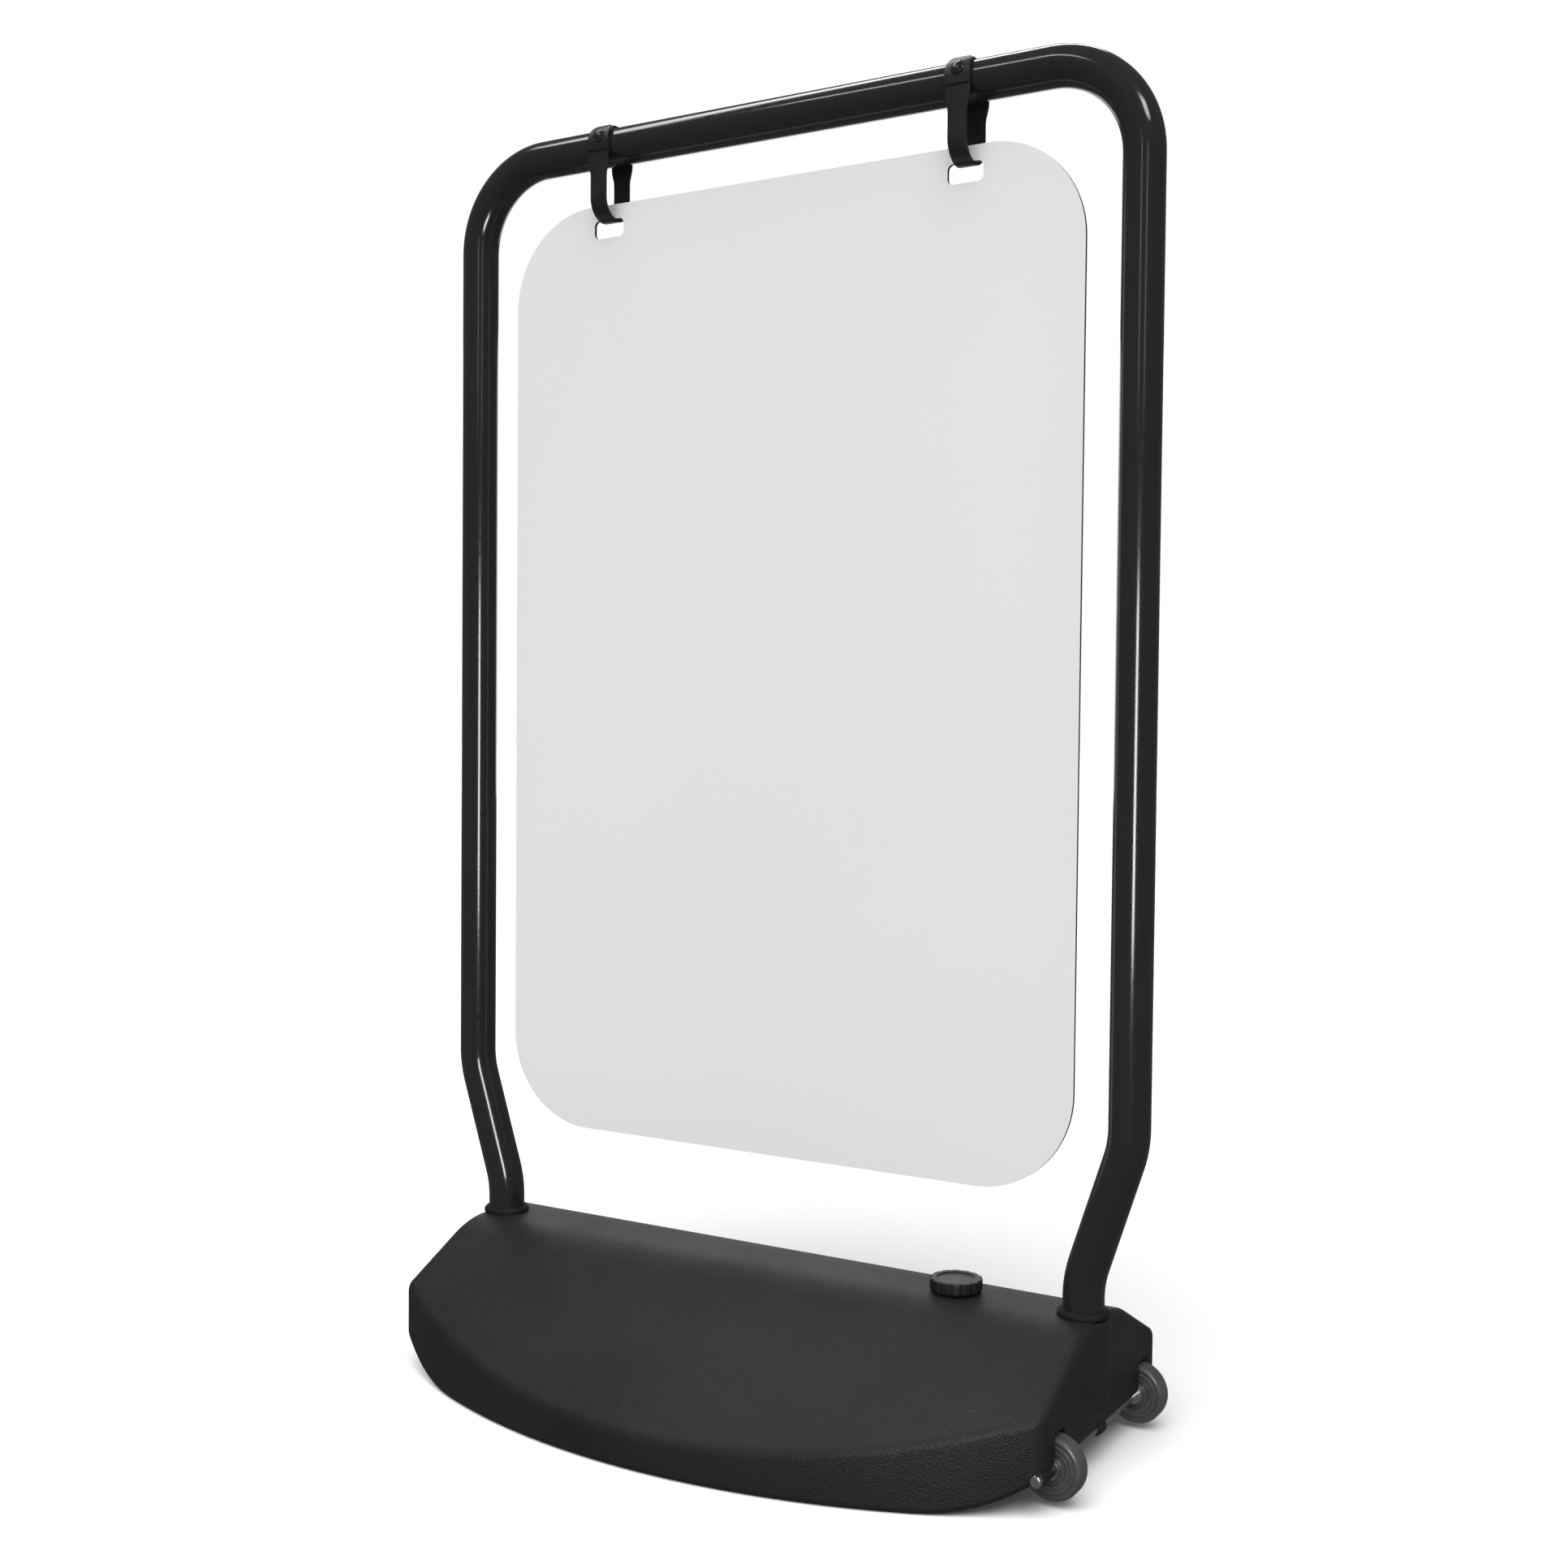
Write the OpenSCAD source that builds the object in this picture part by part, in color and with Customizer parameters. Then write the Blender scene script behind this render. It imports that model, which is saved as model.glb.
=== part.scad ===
// Swinging pavement sign: a sheet panel hung by two strap loops from a bent
// tube hoop, which stands in a hollow ballast base with two carrying wheels.
// X runs along the sign, Y through it, Z up. The origin is on the ground,
// under the middle of the base.

/* [Sign panel] */
// Width of the panel
panel_w = 508; // [400:1:700]
// Height of the panel
panel_h = 762; // [500:1:1000]
// Radius of the panel's corners
panel_corner_r = 76; // [40:1:90]
// Thickness of the panel's core
core_t = 2.4; // [1.5:0.1:4]
// Thickness of each metal skin on the core
skin_t = 0.3; // [0.2:0.1:0.6]
// Width of the slot that a hanger passes through
slot_w = 29; // [20:0.5:40]
// Height of the slot
slot_h = 15; // [10:0.5:25]
// Radius of the slot's corners
slot_corner_r = 4.5; // [2:0.5:5]
// Distance from the panel's top edge down to the slot
slot_from_top = 11.5; // [8:0.5:12]
// Distance from the panel's side edge to a slot's centre
slot_inset = 94; // [90:1:130]

/* [Frame] */
// Outside diameter of the frame tube
tube_d = 30; // [25:0.5:36]
// Wall thickness of the frame tube
tube_wall = 1.5; // [1.2:0.1:2.5]
// Gap between the panel's side edge and the post
side_gap = 27; // [20:1:50]
// Gap between the base's ridge and the panel's bottom edge
panel_clear = 81.4; // [70:0.1:120]
// Centre line radius of the two top bends
top_bend_r = 70; // [50:1:120]
// Centre line radius of the crank bends above the base
crank_bend_r = 80; // [45:1:90]
// How far each post's foot is cranked inwards
crank_in = 32.5; // [20:0.5:40]
// Height of the lower crank bend above the base's ridge
crank_low = 25.4; // [24:0.1:40]
// Height of the upper crank bend above the lower one
crank_rise = 100; // [90:1:120]

/* [Hangers] */
// Thickness of the strap
strap_t = 2.2; // [1.5:0.1:3]
// Width of the strap beside the tube
strap_pad_w = 20; // [16:0.5:24]
// Width of the strap's legs and of its lower bend
strap_leg_w = 15; // [10:0.5:18]
// Width of the strap over the top of the tube
strap_neck_w = 9; // [7:0.5:12]
// Distance from the tube's axis down to the centre of the strap's lower bend
strap_drop = 42.7; // [38:0.1:60]
// Thickness of the strap's overlapping end
tongue_t = 1.2; // [0.8:0.1:1.6]
// Diameter of the stud that closes the strap
stud_d = 11; // [8:0.5:12]

/* [Base] */
// Depth of the base at its middle
base_depth = 378; // [360:1:440]
// Depth of the base at its ends, where its curved front and rear stop
base_end_depth = 216; // [210:1:240]
// Height of the flat ridge
base_h = 105.6; // [100:0.1:120]
// Width of the flat ridge, front to rear
ridge_w = 68; // [50:1:80]
// Height of the front and rear walls at the middle of the base
rim_h = 27; // [24:1:40]
// Wall thickness of the base
base_wall = 4; // [3:0.1:4.5]
// Length over which the underside curves up at each end
undercut_len = 80; // [75:1:90]
// Height of the underside at the ends, above the axle
undercut_over = 1.5; // [0.5:0.1:2]
// How far a post's column stands proud of the base's end
column_proud = 3; // [2:0.1:3.5]
// Depth of the post sockets below the ridge
socket_depth = 59.6; // [40:0.1:60]

/* [Filler] */
// Distance from the base's end to the filler
filler_inset = 117; // [80:1:150]
// Bore of the filler neck
neck_bore_d = 24; // [18:0.5:26]
// Height of the filler neck above the ridge
neck_h = 6.5; // [5:0.1:8]
// Diameter of the filler cap
cap_d = 39.5; // [38:0.5:44]
// Number of grip flutes round the cap
cap_flutes = 14; // [8:1:20]

/* [Wheels] */
// Diameter of the wheels
wheel_d = 45; // [40:0.5:48]
// Width of the tyres
wheel_w = 15; // [12:0.5:18]
// Thickness of the base's end outside each wheel
cheek_t = 16.5; // [14:0.5:22]
// Diameter of the axle
axle_d = 6; // [5:0.5:7]
// Distance from the base's end to the axle
axle_inset = 4.5; // [4.2:0.1:6]
// Height of the wheels above the ground while the base stands flat
wheel_lift = 4; // [3:0.1:6]

/* [Fasteners] */
// Diameter of the bolts that hold the posts
bolt_d = 6; // [5:0.5:6]
// Width of the bolt heads across the flats
bolt_head_af = 10; // [8:0.5:10]
// Height of the bolt heads
bolt_head_h = 4; // [3:0.5:5]
// Diameter of the washers
washer_d = 12; // [10:0.5:13]
// Thickness of the washers
washer_t = 1.6; // [1:0.1:2]

/* [Hidden] */
$fn = 64;

// Clearances
tube_fit = 0.1;      // strap over tube, each side
slot_seat = 0.3;     // slot edge above the strap it hangs on
socket_fit = 0.15;   // tube in socket, each side
insert_fit = 0.1;    // insert in tube, each side
collar_fit = 0.05;   // collar round tube, each side
bolt_fit = 0.3;      // bolt in the socket floor, each side
thread_fit = 0.05;   // pin, stud or bolt in the piece it's fixed to, each side
spin_fit = 0.05;     // hub and base on the axle, each side
bond_gap = 0.02;     // tyre round hub
cap_fit = 0.4;       // cap round neck, each side
cap_lift = 0.5;      // cap's skirt above the ridge
gasket_fit = 0.1;    // gasket inside the neck's outline and outside its bore
wheel_air = 3;       // pocket wall outside the tyre
hub_side_gap = 0.1;  // hub to washer
pocket_side_gap = 0.2; // washer to pocket wall
axle_cap_gap = 0.1;  // axle cap to base
eps = 1;             // overshoot of a cut past a face
off_tangent = 0.5;   // keeps a flat cut clear of the round one beside it

// Frame and the sockets it stands in
tube_r = tube_d / 2;
socket_r = tube_r + socket_fit;
column_wall = 4.35;
column_r = socket_r + column_wall;
post_x = panel_w / 2 + side_gap + tube_r;
socket_x = post_x - crank_in;
socket_floor_z = base_h - socket_depth;
socket_floor_t = 6;
recess_room = 1.5;   // round the washer
recess_r = washer_d / 2 + recess_room;
recess_top_z = socket_floor_z - socket_floor_t;
crank_low_z = base_h + crank_low;
crank_angle = atan2(crank_in, crank_rise);
crank_tangent = crank_bend_r * tan(crank_angle / 2);
crank_run = norm([crank_in, crank_rise]) - 2 * crank_tangent;
bend_draw = 0.1;     // bending draws the tube's wall down by this much on each side
bend_lap = 0.3;      // straight run over the end of a bend
insert_flange = 2;
insert_len = 30;
bolt_short = 5;      // end of the bolt below the insert's top
foot_z = socket_floor_z + insert_flange;
collar_w = 4;
collar_h = 5;
collar_bevel = 2.5;

// Hangers
loop_r = tube_r + tube_fit;
loop_outer_r = loop_r + strap_t;
tongue_r = loop_outer_r + tongue_t;
hanger_x = panel_w / 2 - slot_inset;
pad_angle = 20;      // stud, up from the front of the tube
neck_angle = 66;     // end of the shoulders, up from the front of the tube
tongue_tail = 6;
stud_head_h = 2.2;
stud_shank_r = 2;
leg_start = 12;      // pad starts to narrow, below the tube's axis
leg_full = 26;       // legs reach their width, below the tube's axis
shoulder_steps = 8;

// Panel, hung from the straps' lower bends
panel_low_z = base_h + panel_clear;
slot_top_z = panel_low_z + panel_h - slot_from_top;
hoop_h = slot_top_z - slot_seat + loop_r + strap_drop;
corner_steps = 24;
slot_steps = 8;

// Base
base_len = 2 * (socket_x + column_r - column_proud);
arc_sag = (base_depth - base_end_depth) / 2;
base_arc_r = (base_len * base_len / 4 + arc_sag * arc_sag) / (2 * arc_sag);
rim_slope = (base_h - rim_h) / (base_depth / 2 - ridge_w / 2);
slope_stretch = sqrt(1 + rim_slope * rim_slope);
undercut_steps = 10;

// Filler
filler_x = base_len / 2 - filler_inset;
neck_wall = 3.5;
neck_r = neck_bore_d / 2 + neck_wall;
rim_z = base_h + neck_h;
gasket_t = 1.2;
cap_low_z = base_h + cap_lift;
cap_roof_z = rim_z + gasket_t;
cap_roof_t = 2.8;
cap_top_z = cap_roof_z + cap_roof_t;
cap_dish = 1;
cap_edge = 0.8;
cap_rim_w = 5.5;
cap_undercut = 1.5;
cap_undercut_h = 2.4;
flute_r = 2.2;
flute_depth = 1;

// Wheels and axle
wheel_r = wheel_d / 2;
axle_r = axle_d / 2;
axle_x = base_len / 2 - axle_inset;
axle_z = wheel_r + wheel_lift;
undercut_h = axle_z + undercut_over;
undercut_x = base_len / 2 - undercut_len;
undercut_r = (undercut_len * undercut_len + undercut_h * undercut_h) / (2 * undercut_h);
tyre_h = 8.8;        // from the hub out to the tread
hub_r = wheel_r - tyre_h;
hub_rim_t = 2;
boss_r = 7.3;
boss_half = wheel_w / 2 + 0.7;
web_half = wheel_w / 2 - 2.5;
rim_half = wheel_w / 2 - 0.6;
bead_w = 1.5;        // slope from the hub's rim up to the tyre's flat side
tread_r = 3;
shoulder_r = wheel_r - tread_r;
tread_steps = 6;
wheel_washer_r = 6.5;
wheel_washer_t = 1;
pocket_half = boss_half + hub_side_gap + wheel_washer_t + pocket_side_gap;
pocket_r = wheel_r + wheel_air;
pocket_wall = 4;
wheel_y = base_end_depth / 2 - cheek_t - pocket_half;
axle_wall = 2.2;     // round the axle, in the lugs and the caps
lug_r = axle_r + axle_wall;
lug_half = 5;
beam_w = 14;         // solid beam along the end, behind the axle
beam_over = 9.5;     // top of the beam above the axle
cheek_y = sqrt(base_arc_r * base_arc_r - axle_x * axle_x) - (base_arc_r - base_depth / 2);
spot_depth = 0.2;    // flat cut in the cheek under the axle cap
spot_y = cheek_y - spot_depth;
spot_margin = 1;
axle_cap_h = 4;
axle_cap_end = 1;    // closed end, and the bevel round it
axle_half = spot_y + axle_cap_h - axle_cap_end;

// Points of a rectangle with round corners, n segments to a corner
function round_rect(w, h, r, n) = [
    for (q = [0:3]) for (i = [0:n])
        let (a = 90 * (q + i / n),
             cx = (q == 0 || q == 3 ? 1 : -1) * (w / 2 - r),
             cy = (q < 2 ? 1 : -1) * (h / 2 - r))
        [cx + r * cos(a), cy + r * sin(a)]
];

// Turns a solid drawn on Z so that it lies along Y, X staying put
module along_y() { rotate([-90, 0, 0]) children(); }

// Turns a profile drawn in X and Y into one that stands in Y and Z
module in_yz() { rotate([90, 0, 90]) children(); }

// Turns a profile drawn in X and Y into one that stands in X and Z
module in_xz() { rotate([90, 0, 0]) children(); }

// A round ring: outer radius, bore radius and height
module ring(ro, ri, h) {
    difference() {
        cylinder(r = ro, h = h);
        translate([0, 0, -eps]) cylinder(r = ri, h = h + 2 * eps);
    }
}

// ---------- base ----------

// Roof of the base in Y and Z, with its skin moved in by d
module roof_profile(d) {
    y_far = base_depth / 2 + eps;
    y_ridge = ridge_w / 2 - d * (slope_stretch - 1) / rim_slope;
    z_far = base_h - rim_slope * (y_far - ridge_w / 2) - d * slope_stretch;
    polygon([[-y_far, -eps], [y_far, -eps], [y_far, z_far], [y_ridge, base_h - d],
             [-y_ridge, base_h - d], [-y_far, z_far]]);
}

// Side of the base in X and Z: the underside curves up in an arc at each end
module side_profile(d) {
    x_end = base_len / 2 - d;
    r = undercut_r - d;
    sweep = asin((x_end - undercut_x) / r);
    curve = [for (i = [0:undercut_steps]) let (a = sweep * i / undercut_steps)
             [undercut_x + r * sin(a), undercut_r - r * cos(a)]];
    top = [[x_end, base_h + eps], [-x_end, base_h + eps]];
    mirrored = [for (i = [undercut_steps:-1:0]) [-curve[i][0], curve[i][1]]];
    polygon(concat(curve, top, mirrored));
}

// Plan of the base: straight ends, and a circular arc at front and rear
module plan_profile(d) {
    intersection() {
        square([base_len - 2 * d, base_depth + 2 * eps], center = true);
        arcs_overlap(d);
    }
}

// Where the two large circles that shape the front and rear overlap
module arcs_overlap(d) {
    shift = base_arc_r - base_depth / 2;
    intersection() {
        translate([0, shift]) circle(r = base_arc_r - d, $fn = 180);
        translate([0, -shift]) circle(r = base_arc_r - d, $fn = 180);
    }
}

// The base's whole form, with its skin moved in by d
module base_form(d) {
    intersection() {
        linear_extrude(base_h + eps) plan_profile(d);
        translate([-base_len, 0, 0]) in_yz() linear_extrude(2 * base_len) roof_profile(d);
        translate([0, base_depth, 0]) in_xz() linear_extrude(2 * base_depth) side_profile(d);
    }
}

// Solid column round each post socket; it stands a little proud of the base's end
module columns(z) {
    for (s = [-1, 1]) translate([s * socket_x, 0, z]) cylinder(r = column_r, h = base_h - z);
}

// Moulded material round the wheel pockets and the axle, left solid in the hollow
module wheel_blocks() {
    x0 = axle_x - pocket_r - pocket_wall;
    y0 = wheel_y - pocket_half - pocket_wall;
    for (s = [-1, 1])
        translate([x0, s > 0 ? y0 : -base_depth / 2, -eps])
            cube([base_len / 2 - x0 + eps, base_depth / 2 - y0, axle_z + pocket_r + pocket_wall + eps]);
    translate([base_len / 2 - beam_w, -base_depth / 2, -eps])
        cube([beam_w + eps, base_depth, axle_z + beam_over + eps]);
}

// The hollow inside, which takes water or sand
module hollow() {
    difference() {
        base_form(base_wall);
        columns(-eps);
        wheel_blocks();
    }
}

// Space for one wheel, open at the end and underneath
module pocket() {
    translate([axle_x, -pocket_half, axle_z]) along_y() cylinder(r = pocket_r, h = 2 * pocket_half);
    translate([axle_x - pocket_r + off_tangent, -pocket_half, -eps])
        cube([2 * pocket_r, 2 * pocket_half, axle_z + eps]);
    translate([axle_x, -pocket_half, axle_z - eps])
        cube([pocket_r, 2 * pocket_half, pocket_r - off_tangent + eps]);
}

// Lugs that close round the axle at the cheeks and in the middle
module lugs() {
    inner = wheel_y + pocket_half;
    for (s = [-1, 1])
        translate([axle_x, s > 0 ? inner : -spot_y, axle_z])
            along_y() cylinder(r = lug_r, h = spot_y - inner);
    translate([axle_x, -lug_half, axle_z]) along_y() cylinder(r = lug_r, h = 2 * lug_half);
}

module base_tank() {
    color("#3d3e3a") difference() {
        union() {
            base_form(0);
            columns(recess_top_z);
            lugs();
            translate([filler_x, 0, base_h - base_wall]) cylinder(r = neck_r, h = neck_h + base_wall);
        }
        hollow();
        // Post sockets, bolt holes and the recesses for the bolt heads
        for (s = [-1, 1]) translate([s * socket_x, 0, 0]) {
            translate([0, 0, socket_floor_z]) cylinder(r = socket_r, h = socket_depth + eps);
            cylinder(r = bolt_d / 2 + bolt_fit, h = base_h);
            translate([0, 0, -eps]) cylinder(r = recess_r, h = recess_top_z + eps);
        }
        // Filler neck
        translate([filler_x, 0, base_h - 2 * base_wall])
            cylinder(d = neck_bore_d, h = 2 * base_wall + neck_h + eps);
        // Wheel pockets, the axle's groove and bores, and the spot faces at its ends
        for (s = [-1, 1]) translate([0, s * wheel_y, 0]) pocket();
        translate([axle_x, -base_depth / 2, axle_z])
            along_y() cylinder(r = axle_r + spin_fit, h = base_depth);
        for (s = [-1, 1])
            translate([axle_x, s > 0 ? spot_y : -base_depth / 2, axle_z])
                along_y() cylinder(r = lug_r + spot_margin, h = base_depth / 2 - spot_y);
    }
}

module filler_cap() {
    r = cap_d / 2;
    color("#2b2c2b") translate([filler_x, 0, 0]) difference() {
        rotate_extrude() polygon([
            [0, cap_roof_z], [neck_r + cap_fit, cap_roof_z], [neck_r + cap_fit, cap_low_z],
            [r - cap_undercut, cap_low_z], [r, cap_low_z + cap_undercut_h],
            [r, cap_top_z - cap_edge], [r - cap_edge, cap_top_z],
            [r - cap_rim_w, cap_top_z], [r - cap_rim_w - cap_dish, cap_top_z - cap_dish],
            [0, cap_top_z - cap_dish]]);
        for (i = [0:cap_flutes - 1]) rotate([0, 0, 360 * i / cap_flutes])
            translate([r + flute_r - flute_depth, 0, cap_low_z - eps])
                cylinder(r = flute_r, h = cap_top_z - cap_low_z + 2 * eps, $fn = 24);
    }
}

module cap_gasket() {
    color("#4a4a4a") translate([filler_x, 0, rim_z])
        ring(neck_r - gasket_fit, neck_bore_d / 2 + gasket_fit, gasket_t);
}

// ---------- frame ----------

// A straight run, which laps a little over the bends at both its ends
module tube_straight(len) {
    translate([0, 0, -bend_lap]) ring(tube_r, tube_r - tube_wall, len + 2 * bend_lap);
}

// A bend about a centre, from one angle through another, standing in X and Z
module tube_bend(centre, bend_r, from, sweep) {
    translate([centre[0], 0, centre[1]]) in_xz() rotate([0, 0, from])
        rotate_extrude(angle = sweep) translate([bend_r, 0]) difference() {
            circle(r = tube_r - bend_draw);
            circle(r = tube_r - tube_wall + bend_draw);
        }
}

// One side of the hoop, from its foot to the middle of the top
module hoop_side() {
    low_end = crank_low_z - crank_tangent;
    high_start = crank_low_z + crank_rise + crank_tangent;
    run_x = socket_x + crank_bend_r * (1 - cos(crank_angle));
    run_z = low_end + crank_bend_r * sin(crank_angle);
    translate([socket_x, 0, foot_z + bend_lap]) tube_straight(low_end - foot_z - bend_lap);
    tube_bend([socket_x + crank_bend_r, low_end], crank_bend_r, 180 - crank_angle, crank_angle);
    translate([run_x, 0, run_z]) rotate([0, crank_angle, 0]) tube_straight(crank_run);
    tube_bend([post_x - crank_bend_r, high_start], crank_bend_r, -crank_angle, crank_angle);
    translate([post_x, 0, high_start]) tube_straight(hoop_h - top_bend_r - high_start);
    tube_bend([post_x - top_bend_r, hoop_h - top_bend_r], top_bend_r, 0, 90);
}

module frame_hoop() {
    color("#232825") union() {
        hoop_side();
        mirror([1, 0, 0]) hoop_side();
        translate([top_bend_r - post_x, 0, hoop_h]) rotate([0, 90, 0])
            tube_straight(2 * (post_x - top_bend_r));
    }
}

// Soft ring that closes the gap where a post enters the base
module foot_collar(side) {
    bore = tube_r + collar_fit;
    outer = tube_r + collar_w;
    color("#1d1d1d") translate([side * socket_x, 0, base_h]) rotate_extrude()
        polygon([[bore, 0], [outer, 0], [outer, collar_h - collar_bevel],
                 [outer - collar_bevel, collar_h], [bore, collar_h]]);
}

// Flanged plug in the end of the tube, tapped for the bolt
module post_insert(side) {
    bore = bolt_d / 2 + thread_fit;
    plug_r = tube_r - tube_wall - insert_fit;
    color("#8a8d8f") translate([side * socket_x, 0, socket_floor_z]) rotate_extrude()
        polygon([[bore, 0], [tube_r - insert_fit, 0], [tube_r - insert_fit, insert_flange],
                 [plug_r, insert_flange], [plug_r, insert_len], [bore, insert_len]]);
}

module post_bolts() {
    head_z = recess_top_z - washer_t - bolt_head_h;
    color("#9a9c9e") for (s = [-1, 1]) translate([s * socket_x, 0, head_z]) {
        cylinder(d = bolt_head_af / cos(30), h = bolt_head_h, $fn = 6);
        cylinder(d = bolt_d, h = socket_floor_z + insert_len - bolt_short - head_z);
    }
}

module post_washers() {
    color("#a9abad") for (s = [-1, 1])
        translate([s * socket_x, 0, recess_top_z - washer_t])
            ring(washer_d / 2, bolt_d / 2 + thread_fit, washer_t);
}

// ---------- hangers ----------

// Outline of the strap seen from the front: neck, round shoulders, pad and legs
module strap_outline() {
    pad_z = tongue_r * sin(pad_angle);
    neck_z = tongue_r * sin(neck_angle);
    shoulder = [for (i = [0:shoulder_steps]) let (a = 90 * i / shoulder_steps)
        [strap_neck_w / 2 + (strap_pad_w - strap_neck_w) / 2 * cos(a), pad_z + (neck_z - pad_z) * sin(a)]];
    right = concat([[strap_leg_w / 2, -strap_drop - tongue_r - eps], [strap_leg_w / 2, -leg_full],
                    [strap_pad_w / 2, -leg_start]], shoulder, [[strap_neck_w / 2, tongue_r + eps]]);
    left = [for (i = [len(right) - 1:-1:0]) [-right[i][0], right[i][1]]];
    polygon(concat(right, left));
}

// Part of a round band about X, ri to ro, from one angle through another. It and the
// straight runs are wider than the strap, whose outline then cuts them
module band(ri, ro, from, sweep) {
    in_yz() rotate([0, 0, from]) rotate_extrude(angle = sweep)
        translate([ri, -strap_pad_w / 2 - eps]) square([ro - ri, strap_pad_w + 2 * eps]);
}

// Long round-ended loop about the tube, with a second layer where its ends overlap
module strap_loop() {
    band(loop_r, loop_outer_r, 0, 180);
    translate([0, 0, -strap_drop]) band(loop_r, loop_outer_r, 180, 180);
    for (s = [-1, 1])
        translate([-strap_pad_w / 2 - eps, s > 0 ? loop_r : -loop_outer_r, -strap_drop])
            cube([strap_pad_w + 2 * eps, strap_t, strap_drop]);
    band(loop_outer_r, tongue_r, 180 - neck_angle, neck_angle);
    translate([-strap_pad_w / 2 - eps, -tongue_r, -tongue_tail])
        cube([strap_pad_w + 2 * eps, tongue_t, tongue_tail]);
}

// Moves a solid drawn on Z to the stud's place on the front of the tube
module at_stud() { rotate([90 - pad_angle, 0, 0]) children(); }

module hanger_strap(side) {
    color("#1c1d1c") translate([side * hanger_x, 0, hoop_h]) difference() {
        intersection() {
            strap_loop();
            translate([0, 2 * tongue_r, 0]) in_xz() linear_extrude(4 * tongue_r) strap_outline();
        }
        at_stud() translate([0, 0, loop_r - eps])
            cylinder(r = stud_shank_r + thread_fit, h = tongue_r - loop_r + 2 * eps);
    }
}

// Domed stud through both layers of the strap
module hanger_stud(side) {
    dome_r = (stud_d * stud_d / 4 + stud_head_h * stud_head_h) / (2 * stud_head_h);
    half = asin(stud_d / 2 / dome_r);
    dome = [for (i = [0:shoulder_steps]) let (a = half * (1 - i / shoulder_steps))
            [dome_r * sin(a), dome_r * cos(a) - dome_r + stud_head_h]];
    color("#2e2f2e") translate([side * hanger_x, 0, hoop_h]) at_stud()
        translate([0, 0, tongue_r + thread_fit]) {
            rotate_extrude() polygon(concat([[0, 0]], dome));
            translate([0, 0, -tongue_t - strap_t])
                cylinder(r = stud_shank_r, h = tongue_t + strap_t + eps / 2);
        }
}

// ---------- panel ----------

// Sheet of the panel's outline with both slots, from y0 through a thickness
module panel_sheet(y0, thickness) {
    translate([0, y0 + thickness, 0]) in_xz() linear_extrude(thickness) difference() {
        translate([0, panel_low_z + panel_h / 2])
            polygon(round_rect(panel_w, panel_h, panel_corner_r, corner_steps));
        for (s = [-1, 1]) translate([s * hanger_x, slot_top_z - slot_h / 2])
            polygon(round_rect(slot_w, slot_h, slot_corner_r, slot_steps));
    }
}

module panel_core() { color("#2a2a2a") panel_sheet(-core_t / 2, core_t); }
module panel_skin_front() { color("#e2e2e0") panel_sheet(-core_t / 2 - skin_t, skin_t); }
module panel_skin_rear() { color("#e2e2e0") panel_sheet(core_t / 2, skin_t); }

// ---------- wheels ----------

module axle_rod() {
    color("#b4b6b8") translate([axle_x, -axle_half, axle_z])
        along_y() cylinder(r = axle_r, h = 2 * axle_half);
}

// Push-on caps at both ends of the axle
module axle_caps() {
    bore = axle_r + thread_fit;
    outer = axle_r + axle_wall;
    blind = axle_cap_h - axle_cap_end + thread_fit;
    color("#a0a2a4") for (s = [-1, 1])
        translate([axle_x, s * spot_y, axle_z]) rotate([-90 * s, 0, 0]) rotate_extrude()
            polygon([[bore, axle_cap_gap], [outer, axle_cap_gap], [outer, axle_cap_h - axle_cap_end],
                     [outer - axle_cap_end, axle_cap_h], [0, axle_cap_h], [0, blind], [bore, blind]]);
}

module wheel_washers() {
    offset_y = boss_half + hub_side_gap;
    color("#b0b2b4") for (w = [-1, 1]) for (s = [-1, 1])
        translate([axle_x, w * wheel_y + (s > 0 ? offset_y : -offset_y - wheel_washer_t), axle_z])
            along_y() ring(wheel_washer_r, axle_r + thread_fit, wheel_washer_t);
}

// Wheel centre with a bore, a boss, a thin web and a rim
module hub(side) {
    half = [[axle_r + spin_fit, boss_half], [boss_r, boss_half], [boss_r, web_half],
            [hub_r - hub_rim_t, web_half], [hub_r - hub_rim_t, rim_half], [hub_r, rim_half]];
    other = [for (i = [len(half) - 1:-1:0]) [half[i][0], -half[i][1]]];
    color("#565856") translate([axle_x, side * wheel_y, axle_z]) along_y()
        rotate_extrude() polygon(concat(half, other));
}

// Tyre with straight sides and a round tread
module tyre(side) {
    tread = [for (i = [0:tread_steps]) let (a = 90 * i / tread_steps)
             [shoulder_r + tread_r * sin(a), wheel_w / 2 - tread_r * (1 - cos(a))]];
    half = concat([[hub_r + bond_gap, rim_half], [hub_r + bead_w, wheel_w / 2]], tread);
    other = [for (i = [len(half) - 1:-1:0]) [half[i][0], -half[i][1]]];
    color("#4b4c4b") translate([axle_x, side * wheel_y, axle_z]) along_y()
        rotate_extrude() polygon(concat(half, other));
}

base_tank();
filler_cap();
cap_gasket();
frame_hoop();
foot_collar(-1);  // foot_collar_left
foot_collar(1);  // foot_collar_right
post_insert(-1);  // post_insert_left
post_insert(1);  // post_insert_right
post_bolts();
post_washers();
hanger_strap(-1);  // hanger_strap_left
hanger_strap(1);  // hanger_strap_right
hanger_stud(-1);  // hanger_stud_left
hanger_stud(1);  // hanger_stud_right
panel_core();
panel_skin_front();
panel_skin_rear();
axle_rod();
axle_caps();
wheel_washers();
hub(-1);  // hub_front
hub(1);  // hub_rear
tyre(-1);  // tyre_front
tyre(1);  // tyre_rear
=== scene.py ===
"""Looks of a swinging pavement sign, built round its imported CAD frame.

Sizes in the classes are in millimetres, as a maker would write them, and become metres as
each mesh is made. X runs along the sign, Y through it from front to rear, and Z up.
"""

import logging
import math
from dataclasses import dataclass, field
from enum import Enum
from typing import Optional

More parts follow.
